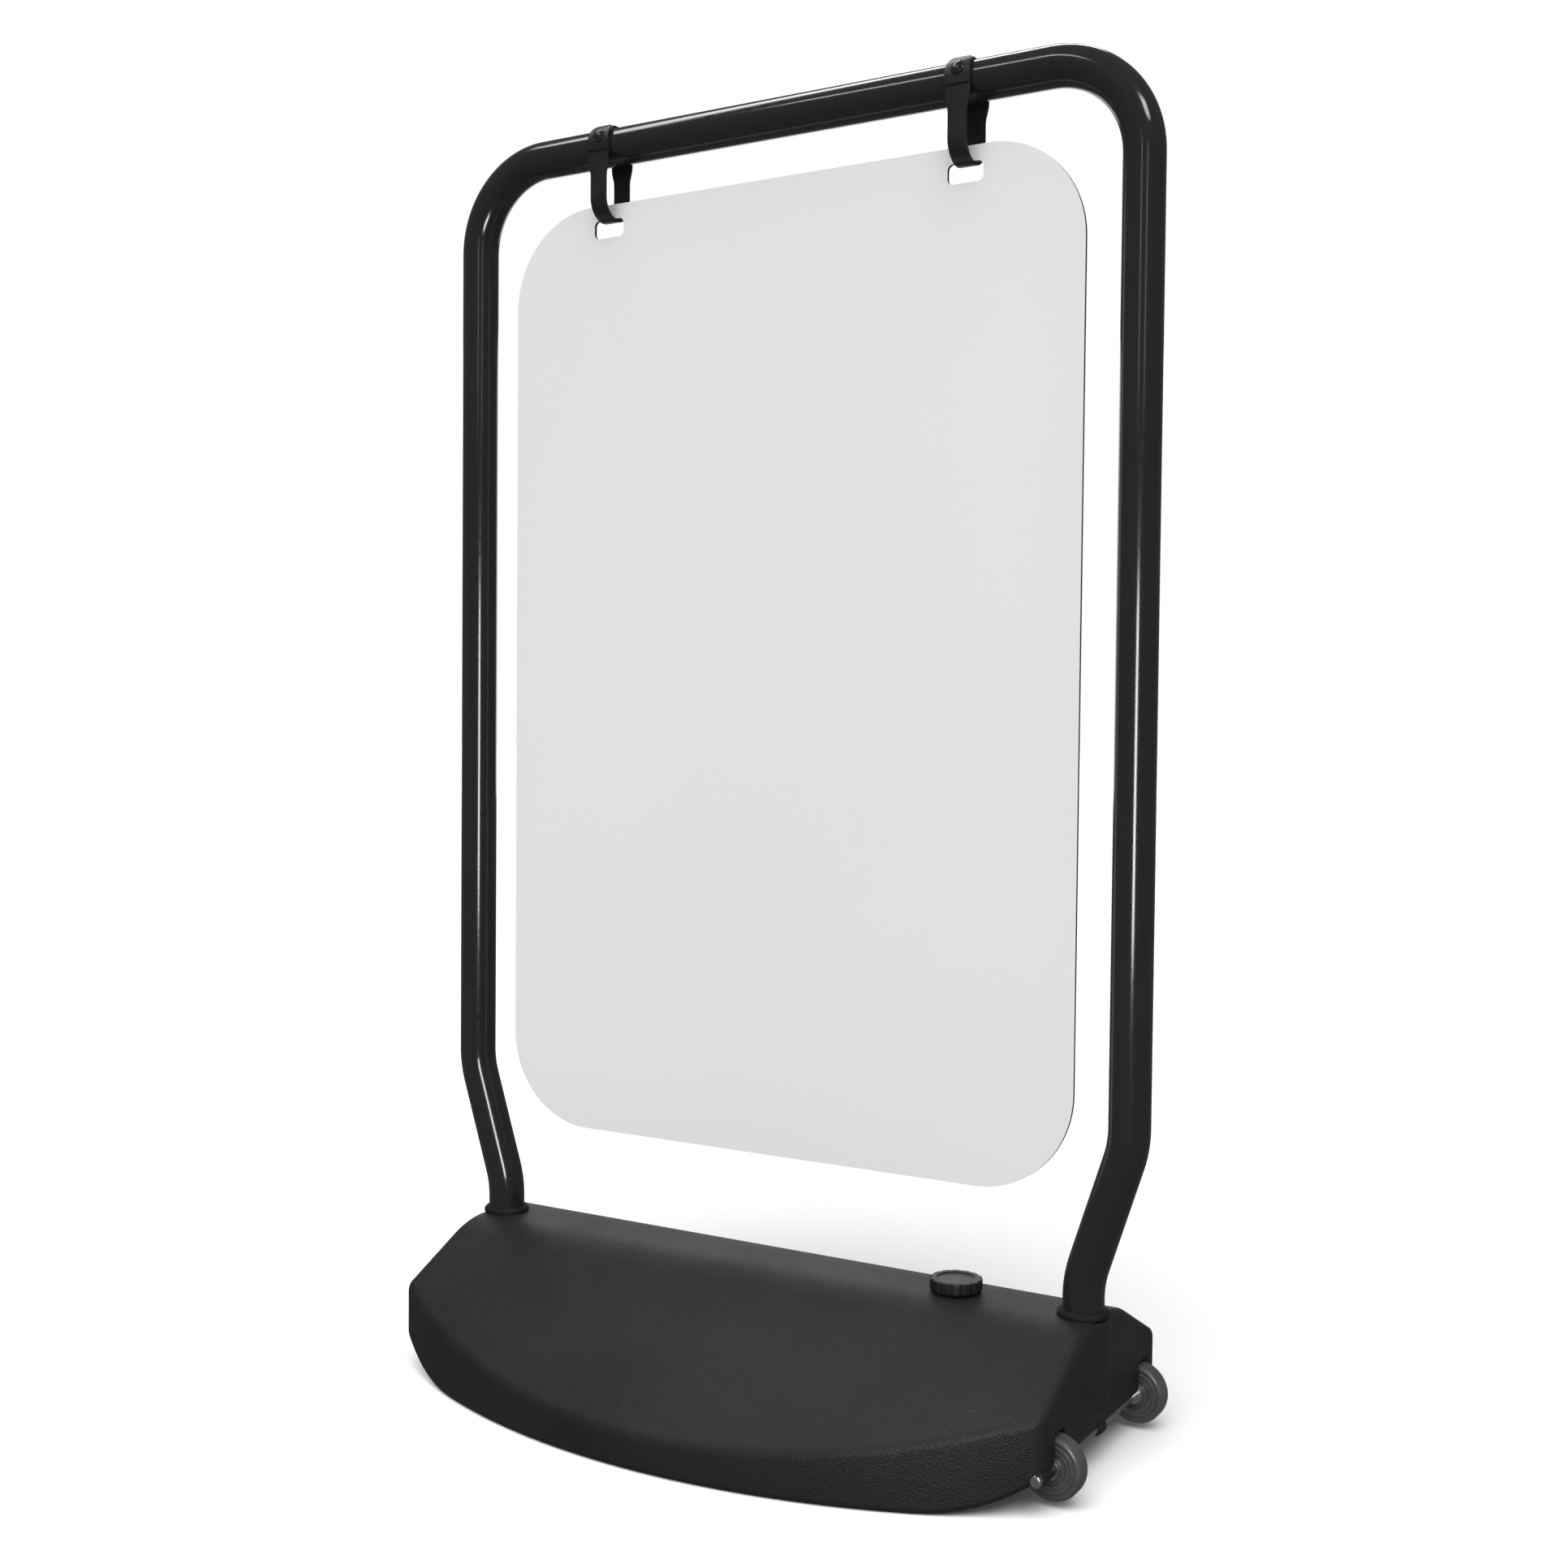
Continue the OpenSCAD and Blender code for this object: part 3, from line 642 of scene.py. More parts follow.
@dataclass
class BallastBase:
    """The moulded base: long, low, with a flat ridge and two wheel pockets at its right end.

    Attributes:
        length: along the sign.
        depth: front to rear at the middle.
        end_depth: front to rear at the ends.
        height: to the ridge.
        ridge: width of the flat ridge.
        rim: height of the front and rear walls at the middle.
        undercut_length: length over which the underside curves up.
        undercut_height: height of the underside at the ends.
        edge_round: radius of the edges round the ends.
        rim_round: radius of the edge between roof and wall.
        foot_round: radius of the bottom edge.
        ridge_round: radius of the bend between roof and ridge.
        post_x: distance of the post sockets from the middle.
        column_r: radius of the bulge round each post.
        column_low: height at which that bulge starts, inside the base.
        column_drop: how far its top is below the ridge.
        axle_x: distance of the axle from the middle.
        axle_z: height of the axle.
        wheel_y: distance of each wheel from the middle.
        pocket_r: radius of the wheel pockets.
        pocket_half: half the width of the wheel pockets.
        filler_x: distance of the filler from the middle.
        socket: radius of the post sockets, and where each starts and ends.
        bolt_recess: the same for the recess under each post.
        bolt_hole: the same for the bolt's hole.
        filler_hole: the same for the filler.
        neck: the same for the filler's neck.
        axle_hole_r: radius of the axle's hole.
        lug_r: radius of the lugs round the axle.
        cheek_y: how far the outer lugs reach from the middle.
        middle_lug: half the length of the middle lug.
        arc_r: radius of the front and rear walls in plan.
        slope: rise of the roof for each millimetre across.
    """

    length: float = 560.0
    depth: float = 378.0
    end_depth: float = 216.0
    height: float = 105.6
    ridge: float = 68.0
    rim: float = 27.0
    undercut_length: float = 80.0
    undercut_height: float = 28.0
    edge_round: float = 7.0
    rim_round: float = 9.0
    foot_round: float = 5.0
    ridge_round: float = 80.0
    post_x: float = 263.5
    column_r: float = 19.5
    column_low: float = 40.0
    column_drop: float = 0.05
    axle_x: float = 275.5
    axle_z: float = 26.5
    wheel_y: float = 82.0
    pocket_r: float = 25.5
    pocket_half: float = 9.5
    filler_x: float = 163.0
    socket: tuple[float, float, float] = (15.15, 46.0, 120.0)
    bolt_recess: tuple[float, float, float] = (7.5, -10.0, 40.0)
    bolt_hole: tuple[float, float, float] = (3.3, 30.0, 60.0)
    filler_hole: tuple[float, float, float] = (12.0, 50.0, 120.0)
    neck: tuple[float, float, float] = (15.5, 95.0, 112.1)
    axle_hole_r: float = 3.05
    lug_r: float = 5.2
    cheek_y: float = 110.5
    middle_lug: float = 5.0
    arc_r: float = field(init=False)
    slope: float = field(init=False)

    def __post_init__(self) -> None:
        """Works out the plan arc's radius and the roof's slope."""
        sag = (self.depth - self.end_depth) / 2
        self.arc_r = ((self.length / 2) ** 2 + sag**2) / (2 * sag)
        self.slope = (self.height - self.rim) / ((self.depth - self.ridge) / 2)

    def _stations(self) -> tuple[np.ndarray, np.ndarray]:
        """Places along X and how far the section draws in at each, for round end edges."""
        half, r = self.length / 2, self.edge_round
        turn = np.linspace(0.0, math.pi / 2, 13)[1:]
        middle = np.linspace(-(half - r), half - r, 121)
        ends = half - r + r * np.sin(turn)
        inset = r * (1 - np.cos(turn))
        x = np.concatenate([-ends[::-1], middle, ends])
        return x, np.concatenate([inset[::-1], np.zeros_like(middle), inset])

    def _underside(self, x: np.ndarray) -> np.ndarray:
        """Height of the underside: flat, then a circular arc up to each end."""
        run = np.clip(np.abs(x) - (self.length / 2 - self.undercut_length), 0.0, None)
        h, w = self.undercut_height, self.undercut_length
        r = (w * w + h * h) / (2 * h)
        return r - np.sqrt(r * r - run * run)

    def _section(self, x: float, inset: float) -> np.ndarray:
        """The closed outline in Y and Z at one station, its corners rounded.

        Formula: six lines, the ground, both walls, both roof slopes and the ridge, each
        moved inwards by the inset, meet at six corners, and each corner gets an arc.
        """
        wall = math.sqrt(self.arc_r**2 - x * x) - (self.arc_r - self.depth / 2) - inset
        low = float(self._underside(np.array([x]))[0]) + inset
        top = self.height - inset
        stretch = math.hypot(1.0, self.slope)
        roof = self.height - inset * stretch
        ridge = self.ridge / 2 + (roof - top) / self.slope
        eave = roof - self.slope * (wall - self.ridge / 2)
        right = np.array([[wall, low], [wall, eave], [ridge, top]])
        foot, rim = max(self.foot_round - inset, 0.6), max(self.rim_round - inset, 0.8)
        radii = np.array([foot, rim, self.ridge_round])
        corners = np.concatenate([right, right[::-1] * [-1, 1]])
        return rounded_outline(corners, np.concatenate([radii, radii[::-1]]), 8, True)

    def shell(self) -> Object:
        """The whole moulded form, before its bores and pockets."""
        x, inset = self._stations()
        sections = np.stack([self._section(float(a), float(b)) for a, b in zip(x, inset)])
        along = np.repeat(x[:, None, None], sections.shape[1], axis=1)
        return sweep("base_shell", np.concatenate([along, sections], axis=2), False, 40.0)

    def _post_columns(self) -> list[Object]:
        """Bulges round the posts, their tops rounded over."""
        r, low, top = self.column_r, self.column_low, self.height - self.column_drop
        corners = np.array([[0.0, low], [r - 2, low], [r, low + 4], [r, top], [0.0, top]])
        profile = rounded_outline(corners, np.array([0.0, 0.0, 2.0, 6.0, 0.0]), 10, False)
        return [turned("column", profile, Placement((s * self.post_x, 0, 0)), 96, False) for s in (-1, 1)]

    def _axle_line(self) -> Placement:
        """The axle's line, along Y."""
        return Placement((self.axle_x, 0, self.axle_z), (0, 1, 0))

    def _lugs(self) -> list[Object]:
        """Round lugs that close about the axle, at the cheeks and in the middle."""
        inner, outer, middle = self.wheel_y + self.pocket_half, self.cheek_y, self.middle_lug
        spans = [(-outer, -inner), (-middle, middle), (inner, outer)]
        return [rod("lug", self._axle_line(), self.lug_r, span, (0.6, 0.6), segments=48) for span in spans]

    def _pocket(self, side: int) -> Object:
        """The space that one wheel is taken out of: round inside, open at the end and below."""
        turn = np.linspace(math.pi, math.pi / 2, 33)
        arc = circle_points(self.pocket_r, turn) + [self.axle_x, self.axle_z]
        far = self.axle_x + 40.0
        outline = np.concatenate([
            [[self.axle_x - self.pocket_r, -10.0]], arc, [[far, self.axle_z + self.pocket_r], [far, -10.0]]
        ])
        middle = side * self.wheel_y
        return prism("pocket", outline, middle - self.pocket_half, middle + self.pocket_half)

    def build(self, finisher: Finisher) -> None:
        """Makes the base, cuts its pockets and bores, and finishes it."""
        shell = self.shell()
        filler = Placement((self.filler_x, 0, 0))
        neck = rod("neck", filler, self.neck[0], self.neck[1:], (0.0, 0.6))
        added = [*self._post_columns(), *self._lugs(), neck]
        steps: list[tuple[Cut, Object]] = [(Cut.ADD, tool) for tool in added]
        for s in (-1, 1):
            post = Placement((s * self.post_x, 0, 0))
            for hole in (self.socket, self.bolt_recess, self.bolt_hole):
                steps.append((Cut.TAKE, rod("bore", post, hole[0], hole[1:])))
            steps.append((Cut.TAKE, self._pocket(s)))
        steps.append((Cut.TAKE, rod("bore", filler, self.filler_hole[0], self.filler_hole[1:])))
        steps.append((Cut.TAKE, rod("bore", self._axle_line(), self.axle_hole_r, (-200.0, 200.0))))
        carve(shell, steps, 40.0)
        finisher.piece(shell, "base", "stand", "base_tank")


@dataclass
class TubeFrame:
    """The bent tube hoop with its foot collars and hidden fixings.

    Attributes:
        tube_r: outside radius of the tube.
        wall: wall thickness.
        post_x: distance of the upright posts from the middle.
        foot_x: distance of the feet from the middle.
        foot_z: lower end of the tube.
        crank_low: height of the lower crank bend's corner.
        crank_high: height of the upper crank bend's corner.
        crank_r: centre line radius of the crank bends.
        top_z: height of the top centre line.
        top_r: centre line radius of the top bends.
        collar_z: height of the collars' lower face.
        turn_in: how far the foot's wall is followed up inside the tube.
        cut_round: size of the edge at the cut ends.
    """

    tube_r: float = 15.0
    wall: float = 1.5
    post_x: float = 296.0
    foot_x: float = 263.5
    foot_z: float = 48.0
    crank_low: float = 131.0
    crank_high: float = 231.0
    crank_r: float = 80.0
    top_z: float = 995.0
    top_r: float = 70.0
    collar_z: float = 105.6
    turn_in: float = 25.0
    cut_round: float = 0.4

    def _centre_line(self) -> np.ndarray:
        """Points in X and Z from the left foot round to the right foot, bends as arcs."""
        foot, post = self.foot_x, self.post_x
        heights = [self.foot_z, self.crank_low, self.crank_high, self.top_z]
        half = np.array([[foot, foot, post, post], heights]).T
        radii = np.array([0, self.crank_r, self.crank_r, self.top_r])
        corners = np.concatenate([half * [-1, 1], half[::-1]])
        return rounded_outline(corners, np.concatenate([radii, radii[::-1]]), 28, False)

    def hoop(self) -> Object:
        """The tube: a circle carried along the centre line, then turned in at both feet.

        Formula: at each point the circle stands in the plane of the local normal and Y. At
        each foot the rings step in to the bore and run a little way up inside.
        """
        line = self._centre_line()
        step = np.gradient(line, axis=0)
        ahead = step / np.linalg.norm(step, axis=1)[:, None]
        ahead[0], ahead[-1] = (0.0, 1.0), (0.0, -1.0)
        normal = np.stack([-ahead[:, 1], ahead[:, 0]], axis=1)
        inner, edge = self.tube_r - self.wall, self.cut_round
        radius = np.full(len(line), self.tube_r)
        lift = np.array([[0.0, self.turn_in], [0.0, edge], [0.0, 0.0]])
        head = line[0] + lift
        tail = line[-1] + lift[::-1]
        line = np.concatenate([head, line[:1] + [0.0, edge], line[1:-1], line[-1:] + [0.0, edge], tail])
        foot = np.array([inner, inner, self.tube_r - edge])
        radius = np.concatenate([foot, radius, foot[::-1]])
        normal = np.concatenate([np.repeat(normal[:1], 3, axis=0), normal, np.repeat(normal[-1:], 3, axis=0)])
        angle = np.linspace(0.0, 2 * math.pi, 72, endpoint=False)
        out = radius[:, None] * np.cos(angle)[None, :]
        side = radius[:, None] * np.sin(angle)[None, :]
        rings = np.stack([line[:, :1] + normal[:, :1] * out, side, line[:, 1:] + normal[:, 1:] * out], axis=2)
        return sweep("hoop_tube", rings, False, 40.0)

    def collar(self, side: int, name: str) -> Object:
        """A soft ring round one foot, with a rolled outer edge and a thin lip on the tube."""
        r, z = self.tube_r, self.collar_z
        section = [[0.05, 0.02], [3.9, 0.02], [3.9, 2.6], [1.4, 5.0], [0.05, 5.0]]
        profile = rounded_outline(np.array(section) + [r, z], np.array([0.0, 0.5, 1.6, 0.6, 0.0]), 6, True)
        return turned(name, profile, Placement((side * self.foot_x, 0, 0)), 96)

    def build(self, finisher: Finisher) -> None:
        """Makes the hoop and collars, and finishes the fixings inside the feet."""
        finisher.piece(self.hoop(), "frame", "stand", "frame_hoop")
        for side, word in ((-1, "left"), (1, "right")):
            finisher.piece(self.collar(side, f"foot_ring_{word}"), "rubber", "stand", f"foot_collar_{word}")
            finisher.keep(f"post_insert_{word}", "steel")
        finisher.keep("post_bolts", "steel")
        finisher.keep("post_washers", "steel")


@dataclass
class Hanger:
    """One strap loop over the top tube, closed by a stud on its front.

    Attributes:
        word: left or right.
        x: place along the top tube.
        axis_z: height of the tube's axis.
        drop: depth of the lower bend's centre below that axis.
        inner_r: inside radius of the loop.
        thick: thickness of the strap.
        tongue: thickness of the overlapping end.
        neck_w: width over the top of the tube.
        pad_w: width beside the tube.
        leg_w: width of the legs.
        stud_d: diameter of the stud's head.
        stud_h: height of the stud's head.
        stud_tilt: how far the stud points above the front, in degrees.
        flap_turn: how far the overlapping end runs over the tube, in degrees.
        flap_tail: how far it runs down the front leg.
        edge: radius of the strap's long edges.
    """

    word: str
    x: float
    axis_z: float = 995.0
    drop: float = 42.7
    inner_r: float = 15.1
    thick: float = 2.2
    tongue: float = 1.2
    neck_w: float = 9.0
    pad_w: float = 20.0
    leg_w: float = 15.0
    stud_d: float = 11.0
    stud_h: float = 2.2
    stud_tilt: float = 20.0
    flap_turn: float = 66.0
    flap_tail: float = 6.0
    edge: float = 0.42

    def _width(self, z: np.ndarray) -> np.ndarray:
        """Width at a height from the tube's axis: neck, round shoulders, pad, soft taper, leg."""
        outer = self.inner_r + self.thick + self.tongue
        pad = outer * math.sin(math.radians(self.stud_tilt))
        neck = outer * math.sin(math.radians(self.flap_turn))
        rise = np.clip((z - pad) / (neck - pad), 0.0, 1.0)
        top = self.neck_w + (self.pad_w - self.neck_w) * np.sqrt(1 - rise * rise)
        fall = np.clip((-12.0 - z) / 14.0, 0.0, 1.0)
        fall = fall * fall * (3 - 2 * fall)
        return top + (self.leg_w - self.pad_w) * fall

    def _band(
        self,
        name: str,
        line: np.ndarray,
        normal: np.ndarray,
        width: np.ndarray,
        thick: np.ndarray,
        closed: bool,
    ) -> Object:
        """A flat band along a line in Y and Z, its long edges rounded.

        Args:
            name: the object's name.
            line: middle of the band's thickness.
            normal: outward direction at each point.
            width: width at each point.
            thick: thickness at each point.
            closed: whether the band is a loop.

        Returns:
            The new object.
        """
        turn = np.linspace(-math.pi / 2, math.pi / 2, 7)
        u = np.concatenate([np.cos(turn), -np.cos(turn)])
        v = np.concatenate([np.sin(turn), np.sin(turn[::-1])])
        side = np.concatenate([np.ones(7), -np.ones(7)])
        half_w = (width / 2)[:, None]
        half_t = (thick / 2)[:, None]
        r = np.minimum(self.edge, half_t)
        flat = np.sign(np.round(v, 9))[None, :]
        across = side[None, :] * (half_w - r) + u[None, :] * r
        out = flat * (half_t - r) + v[None, :] * r
        rings = np.stack([
            self.x + across,
            line[:, :1] + normal[:, :1] * out,
            line[:, 1:] + normal[:, 1:] * out + self.axis_z,
        ], axis=2)
        return sweep(name, rings, closed, 50.0)

    def strap(self) -> Object:
        """The loop: two half circles joined by straight legs, about the tube and the lower bend."""
        r = self.inner_r + self.thick / 2
        top = np.linspace(0.0, math.pi, 49)
        low = np.linspace(math.pi, 2 * math.pi, 49)
        leg = np.linspace(0.0, self.drop, 25)[1:-1]
        ring = circle_points(r, top)
        bend = circle_points(r, low) - [0.0, self.drop]
        front = np.stack([np.full_like(leg, -r), -leg], axis=1)
        rear = np.stack([np.full_like(leg, r), leg - self.drop], axis=1)
        line = np.concatenate([ring, front, bend, rear])
        out = np.concatenate([
            circle_points(1.0, top), np.tile([-1.0, 0.0], (len(leg), 1)),
            circle_points(1.0, low), np.tile([1.0, 0.0], (len(leg), 1)),
        ])
        thick = np.full(len(line), self.thick)
        return self._band(f"strap_loop_{self.word}", line, out, self._width(line[:, 1]), thick, True)

    def flap(self) -> Object:
        """The overlapping end on the front, its tip rounded and thinned out."""
        outer = self.inner_r + self.thick
        r = outer + self.tongue / 2 - 0.05
        tail = np.linspace(-self.flap_tail, 0.0, 9)[:-1]
        angle = np.linspace(math.pi, math.pi - math.radians(self.flap_turn), 41)
        line = np.concatenate([np.stack([np.full_like(tail, -r), tail], axis=1), circle_points(r, angle)])
        out = np.concatenate([np.tile([-1.0, 0.0], (len(tail), 1)), circle_points(1.0, angle)])
        run = np.concatenate([[0.0], np.cumsum(np.linalg.norm(np.diff(line, axis=0), axis=1))])
        left = np.minimum(run, run[-1] - run)
        taper = np.sqrt(1 - (1 - np.clip(left / 0.6, 0.0, 1.0)) ** 2)
        thick = (self.tongue + 0.1) * (0.25 + 0.75 * taper)
        width = self._width(line[:, 1]) - 1.4 * (1 - np.clip((run[-1] - run) / 2.0, 0.0, 1.0)) ** 2
        line = line - out * ((self.tongue + 0.1 - thick) / 2)[:, None]
        return self._band(f"strap_flap_{self.word}", line, out, width, thick, False)

    def stud(self) -> Object:
        """The stud's domed head on a short shank, with a small rolled rim."""
        base = self.inner_r + self.thick + self.tongue + 0.05
        r, h = self.stud_d / 2, self.stud_h
        dome_r = (r * r + h * h) / (2 * h)
        half = math.asin(r / dome_r)
        arc = np.linspace(half * 0.93, 0.0, 14)
        dome = np.stack([dome_r * np.sin(arc), dome_r * np.cos(arc) - dome_r + h + base], axis=1)
        shank = [[0.0, base - 3.4], [2.0, base - 3.4], [2.0, base]]
        rim = [[r - 0.25, base], [r, base + 0.12], [r - 0.05, base + 0.3]]
        profile = np.concatenate([shank, rim, dome[:-1], [[0.0, base + h]]])
        tilt = math.radians(self.stud_tilt)
        place = Placement((self.x, 0, self.axis_z), (0, -math.cos(tilt), math.sin(tilt)))
        return turned(f"stud_{self.word}", profile, place, 64, False)

    def build(self, finisher: Finisher) -> None:
        """Makes the strap, its overlapping flap and the stud."""
        body = f"{self.word}_hanger"
        finisher.piece(self.strap(), "strap", body, f"hanger_strap_{self.word}")
        finisher.piece(self.flap(), "strap", body, f"hanger_strap_{self.word}")
        finisher.piece(self.stud(), "stud", body, f"hanger_stud_{self.word}")


@dataclass
class SignPanel:
    """The bonded sheet: a black core between two thin lacquered skins, kept from the CAD."""

    def build(self, finisher: Finisher) -> None:
        """Finishes the core and both skins."""
        finisher.keep("panel_core", "panel_core")
        finisher.keep("panel_skin_front", "panel_skin")
        finisher.keep("panel_skin_rear", "panel_skin")


@dataclass
class FillerCap:
    """The fluted screw cap over the filler neck.

    Attributes:
        x: place along the ridge.
        radius: outside radius.
        low: lower edge of the skirt.
        roof: inside of the roof.
        top: upper face.
        bore: inside radius of the skirt.
        flutes: number of grip flutes.
    """

    x: float = 163.0
    radius: float = 19.75
    low: float = 106.1
    roof: float = 113.3
    top: float = 116.1
    bore: float = 15.9
    flutes: int = 14

    def cap(self) -> Object:
        """The cap: a rounded profile turned about the neck, with flutes in its side."""
        r, t = self.radius, self.top
        corners = np.array([
            [0.0, self.roof], [self.bore, self.roof], [self.bore, self.low], [r - 1.5, self.low],
            [r, self.low + 2.4], [r, t], [r - 5.0, t], [r - 6.2, t - 1.0], [0.0, t - 1.0],
        ])
        radii = np.array([0.0, 0.4, 0.3, 0.5, 1.2, 1.1, 0.5, 0.8, 0.0])
        profile = rounded_outline(corners, radii, 6, False)
        grip = Flutes(self.flutes, 1.0, self.radius - 2.6)
        return turned("filler_knob", profile, Placement((self.x, 0, 0)), 336, False, grip)

    def build(self, finisher: Finisher) -> None:
        """Makes the cap and finishes the seal inside it."""
        finisher.piece(self.cap(), "cap", "cap", "filler_cap")
        finisher.keep("cap_gasket", "seal")


@dataclass
class Wheel:
    """One carrying wheel: a moulded centre and a grey tyre.

    Attributes:
        word: front or rear.
        y: place along the axle.
        x: distance of the axle from the middle.
        z: height of the axle.
        radius: outside radius of the tyre.
        half: half the width of the tyre.
        hub_r: outside radius of the centre.
        boss_r: radius of the boss.
    """

    word: str
    y: float
    x: float = 275.5
    z: float = 26.5
    radius: float = 22.5
    half: float = 7.5
    hub_r: float = 13.7
    boss_r: float = 7.3

    def _place(self) -> Placement:
        """The wheel's middle, with its axis along Y."""
        return Placement((self.x, self.y, self.z), (0, 1, 0))

    def _mirrored(self, half_profile: np.ndarray, radii: np.ndarray, steps: int) -> np.ndarray:
        """A half profile joined to its mirror image, with its corners rounded."""
        corners = np.concatenate([half_profile, (half_profile * [1, -1])[::-1]])
        return rounded_outline(corners, np.concatenate([radii, radii[::-1]]), steps, True)

    def hub(self) -> Object:
        """The centre: a bored boss, a thin web with a raised ring, and a rim."""
        h = self.half
        half = np.array([
            [3.05, h + 0.7], [self.boss_r, h + 0.7], [self.boss_r, h - 2.5],
            [9.0, h - 2.5], [9.3, h - 2.0], [10.2, h - 2.0], [10.5, h - 2.5],
            [self.hub_r - 2.0, h - 2.5], [self.hub_r - 2.0, h - 0.6], [self.hub_r, h - 0.6],
        ])
        radii = np.array([0.3, 0.7, 0.8, 0.15, 0.2, 0.2, 0.15, 0.6, 0.5, 0.25])
        return turned(f"wheel_centre_{self.word}", self._mirrored(half, radii, 5), self._place(), 96)

    def tyre(self) -> Object:
        """The tyre: a bead, a raised ring, a flat wall and a round tread."""
        h, inner = self.half, self.hub_r
        half = np.array([
            [inner + 0.02, h - 0.6], [inner + 1.5, h - 0.1], [inner + 3.1, h - 0.1], [inner + 3.5, h - 0.75],
            [inner + 4.6, h - 0.75], [inner + 5.0, h], [self.radius, h],
        ])
        radii = np.array([0.3, 0.6, 0.3, 0.3, 0.3, 0.4, 3.2])
        return turned(f"tyre_ring_{self.word}", self._mirrored(half, radii, 7), self._place(), 128)

    def build(self, finisher: Finisher) -> None:
        """Makes the centre and the tyre."""
        body = f"{self.word}_wheel"
        finisher.piece(self.hub(), "hub", body, f"hub_{self.word}")
        finisher.piece(self.tyre(), "tyre", body, f"tyre_{self.word}")


@dataclass
class Axle:
    """The axle with its end caps and washers.

    Attributes:
        x: distance from the middle.
        z: height.
        cap_y: where each cap starts.
        cap_h: height of a cap.
        cap_r: radius of a cap.
    """

    x: float = 275.5
    z: float = 26.5
    cap_y: float = 110.65
    cap_h: float = 3.9
    cap_r: float = 4.4

    def caps(self) -> Object:
        """Both push-on caps in one piece, with domed ends."""
        pair = []
        for side in (-1, 1):
            place = Placement((self.x, side * self.cap_y, self.z), (0, side, 0))
            pair.append(rod(f"axle_end_{side}", place, self.cap_r, (0.0, self.cap_h), (0.3, 1.6), 8, 64))
        first = pair[0]
        chosen = {"active_object": first, "selected_objects": pair, "selected_editable_objects": pair}
        with bpy.context.temp_override(**chosen):
            bpy.ops.object.join()
        first.name = "axle_ends"
        return first

    def build(self, finisher: Finisher) -> None:
        """Makes the caps and finishes the rod and washers."""
        finisher.piece(self.caps(), "steel", "stand", "axle_caps")
        finisher.keep("axle_rod", "steel")
        finisher.keep("wheel_washers", "steel")


# ---------- studio ----------


@dataclass
class ReflectionCard:
    """A rectangular light that only shows in reflections.

    Attributes:
        name: its name.
        place: where it stands, in metres.
        target: what it points at, in metres.
        size: width and height, in metres.
        power: in watts.
    """

    name: str
    place: tuple[float, float, float]
    target: tuple[float, float, float]
    size: tuple[float, float]
    power: float

    def build(self) -> None:
        """Makes the light."""
        lamp = bpy.data.lights.new(self.name, "AREA")
        lamp.shape = "RECTANGLE"
        lamp.size, lamp.size_y = self.size
        lamp.energy = self.power
        obj = link_object(self.name, lamp)
        way = Vector(self.target) - Vector(self.place)
        obj.location = self.place
        obj.rotation_euler = way.to_track_quat("-Z", "Y").to_euler()
        obj.visible_diffuse = False


@dataclass
class SoftSky:
    """A broad light overhead that shades matt surfaces but leaves no reflection of itself.

    Attributes:
        lean_x: its turn about X from straight overhead, in degrees.
        lean_y: its turn about Y, in degrees.
        spread: how wide it looks, in degrees.
        strength: in watts a square metre.
    """

    lean_x: float = 30.0
    lean_y: float = 8.0
    spread: float = 60.0
    strength: float = 3.1

    def build(self) -> None:
        """Makes the light."""
        lamp = bpy.data.lights.new("soft_sky", "SUN")
        lamp.energy = self.strength
        lamp.angle = math.radians(self.spread)
        obj = link_object("soft_sky", lamp)
        obj.rotation_euler = (math.radians(self.lean_x), math.radians(self.lean_y), 0.0)
        obj.visible_glossy = False


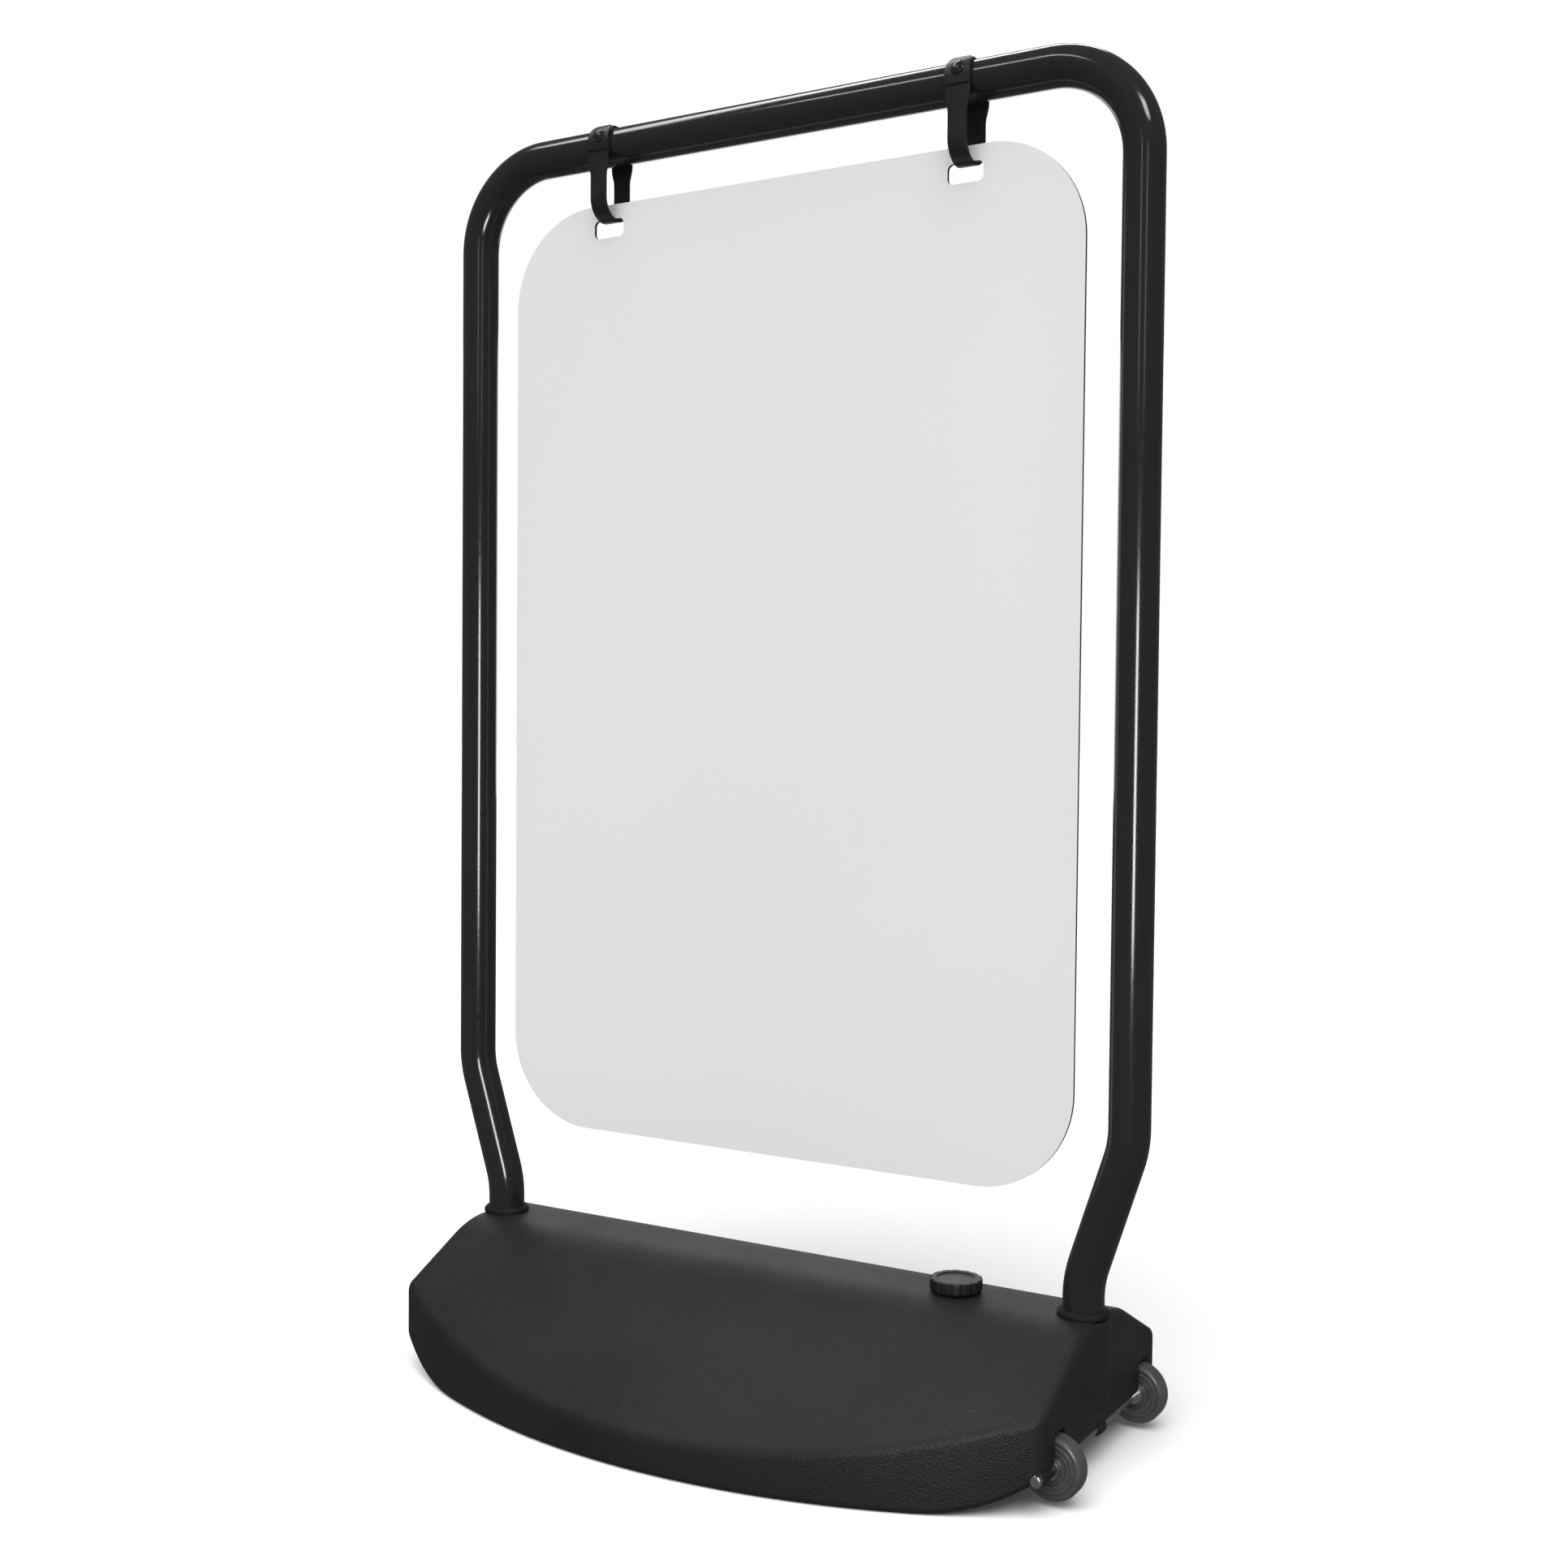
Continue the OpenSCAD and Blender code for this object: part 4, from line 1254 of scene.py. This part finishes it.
@dataclass
class Studio:
    """Pale floor, reflection cards, a broad light overhead and the camera.

    Attributes:
        camera_at: the camera's place, in metres.
        yaw: its turn from looking along +Y, to the left, in degrees.
        pitch: its tilt upwards, in degrees.
        roll: its turn about the view, in degrees.
        lens: focal length on a 36 mm sensor, in millimetres.
        cards: the reflection cards.
        sky: the broad light overhead.
        air_matt: how bright the room is to matt surfaces.
        air_gloss: how bright it is in reflections.
        floor_half: half the floor's width, in metres.
        floor_drop: how far the floor lies under the feet, in metres.
    """

    camera_at: tuple[float, float, float] = (0.7409, -1.2366, 0.5278)
    yaw: float = 30.58
    pitch: float = -1.92
    roll: float = 0.53
    lens: float = 42.30
    cards: list[ReflectionCard] = field(default_factory=lambda: [
        ReflectionCard("card_camera", (0.83, -1.39, 0.46), (0.0, 0.0, 0.5), (0.28, 0.55), 11.0),
        ReflectionCard("card_left_tall", (0.45, -1.79, 1.30), (0.3, 0.0, 0.8), (0.12, 0.45), 0.5),
        ReflectionCard("card_right_tall", (1.33, -1.47, 1.30), (0.3, 0.0, 0.8), (0.12, 0.45), 0.5),
        ReflectionCard("card_over", (-0.35, -0.92, 1.95), (0.1, 0.0, 0.99), (0.7, 0.10), 2.5),
        ReflectionCard("card_bend", (1.05, -0.55, 1.75), (0.3, 0.0, 0.95), (0.35, 0.30), 4.0),
        ReflectionCard("card_top", (-0.5, 0.35, 2.1), (0.0, 0.0, 0.99), (1.9, 0.25), 11.0),
        ReflectionCard("card_back", (-1.1, 1.8, 0.8), (0.0, 0.0, 0.1), (2.4, 0.9), 8.5),
    ])
    sky: SoftSky = field(default_factory=SoftSky)
    air_matt: float = 0.5
    air_gloss: float = 0.12
    floor_half: float = 30.0
    floor_drop: float = 0.00005

    def _floor(self) -> None:
        """A wide pale floor that reflections and bounced light don't see."""
        w, z = self.floor_half, -self.floor_drop
        mesh = bpy.data.meshes.new("studio_floor")
        mesh.from_pydata([(-w, -w, z), (w, -w, z), (w, w, z), (-w, w, z)], [], [[0, 1, 2, 3]])
        floor = link_object("studio_floor", mesh)
        made = bpy.data.materials.new("floor paint")
        made.use_nodes = True
        skin = made.node_tree.nodes["Principled BSDF"]
        skin.inputs["Base Color"].default_value = (0.95, 0.95, 0.945, 1.0)
        skin.inputs["Roughness"].default_value = 0.9
        skin.inputs["Specular IOR Level"].default_value = 0.1
        mesh.materials.append(made)
        floor.visible_glossy = False
        floor.visible_diffuse = False

    def _world(self) -> None:
        """Even light from all round; the backdrop itself is white to the camera."""
        world = bpy.data.worlds.new("studio_air")
        bpy.context.scene.world = world
        world.use_nodes = True
        world.node_tree.nodes.clear()
        wires = Wiring(world.node_tree)
        rays = wires.add("LightPath", {}).outputs
        shown: Optional[NodeSocket] = None
        layers = ((self.air_gloss, None), (self.air_matt, "Is Diffuse Ray"), (1.0, "Is Camera Ray"))
        for strength, ray in layers:
            air = wires.add("Background", {"Color": (1.0, 1.0, 1.0, 1.0), "Strength": strength}).outputs[0]
            shown = wires.add("MixShader", {0: rays[ray], 1: shown, 2: air}).outputs[0] if ray else air
        wires.add("OutputWorld", {"Surface": shown})

    def _camera(self) -> None:
        """The camera, turned by yaw, then pitch, then roll about its own view."""
        lens = bpy.data.cameras.new("camera")
        lens.lens = self.lens
        lens.sensor_width = 36.0
        lens.clip_start, lens.clip_end = 0.05, 100.0
        obj = link_object("camera", lens)
        aim = Euler((math.radians(90 + self.pitch), 0.0, math.radians(self.yaw)), "XYZ").to_matrix()
        roll = Matrix.Rotation(math.radians(self.roll), 3, "Z")
        obj.matrix_world = Matrix.Translation(self.camera_at) @ (aim @ roll).to_4x4()
        bpy.context.scene.camera = obj

    def build(self) -> None:
        """Makes the floor, the world, the lights and the camera."""
        self._floor()
        self._world()
        for light in [self.sky, *self.cards]:
            light.build()
        self._camera()
        bpy.context.scene.view_settings.view_transform = "Standard"
        LOG.info("studio: %d cards and the overhead light", len(self.cards))


def main() -> None:
    """Builds every sub-assembly in order."""
    logging.basicConfig(level=logging.INFO, format="%(name)s %(message)s")
    finisher = Finisher()
    BallastBase().build(finisher)
    TubeFrame().build(finisher)
    Hanger("left", -160.0).build(finisher)
    Hanger("right", 160.0).build(finisher)
    SignPanel().build(finisher)
    FillerCap().build(finisher)
    Wheel("front", -82.0).build(finisher)
    Wheel("rear", 82.0).build(finisher)
    Axle().build(finisher)
    Studio().build()
    bpy.context.view_layer.update()


if __name__ == "__main__":
    main()
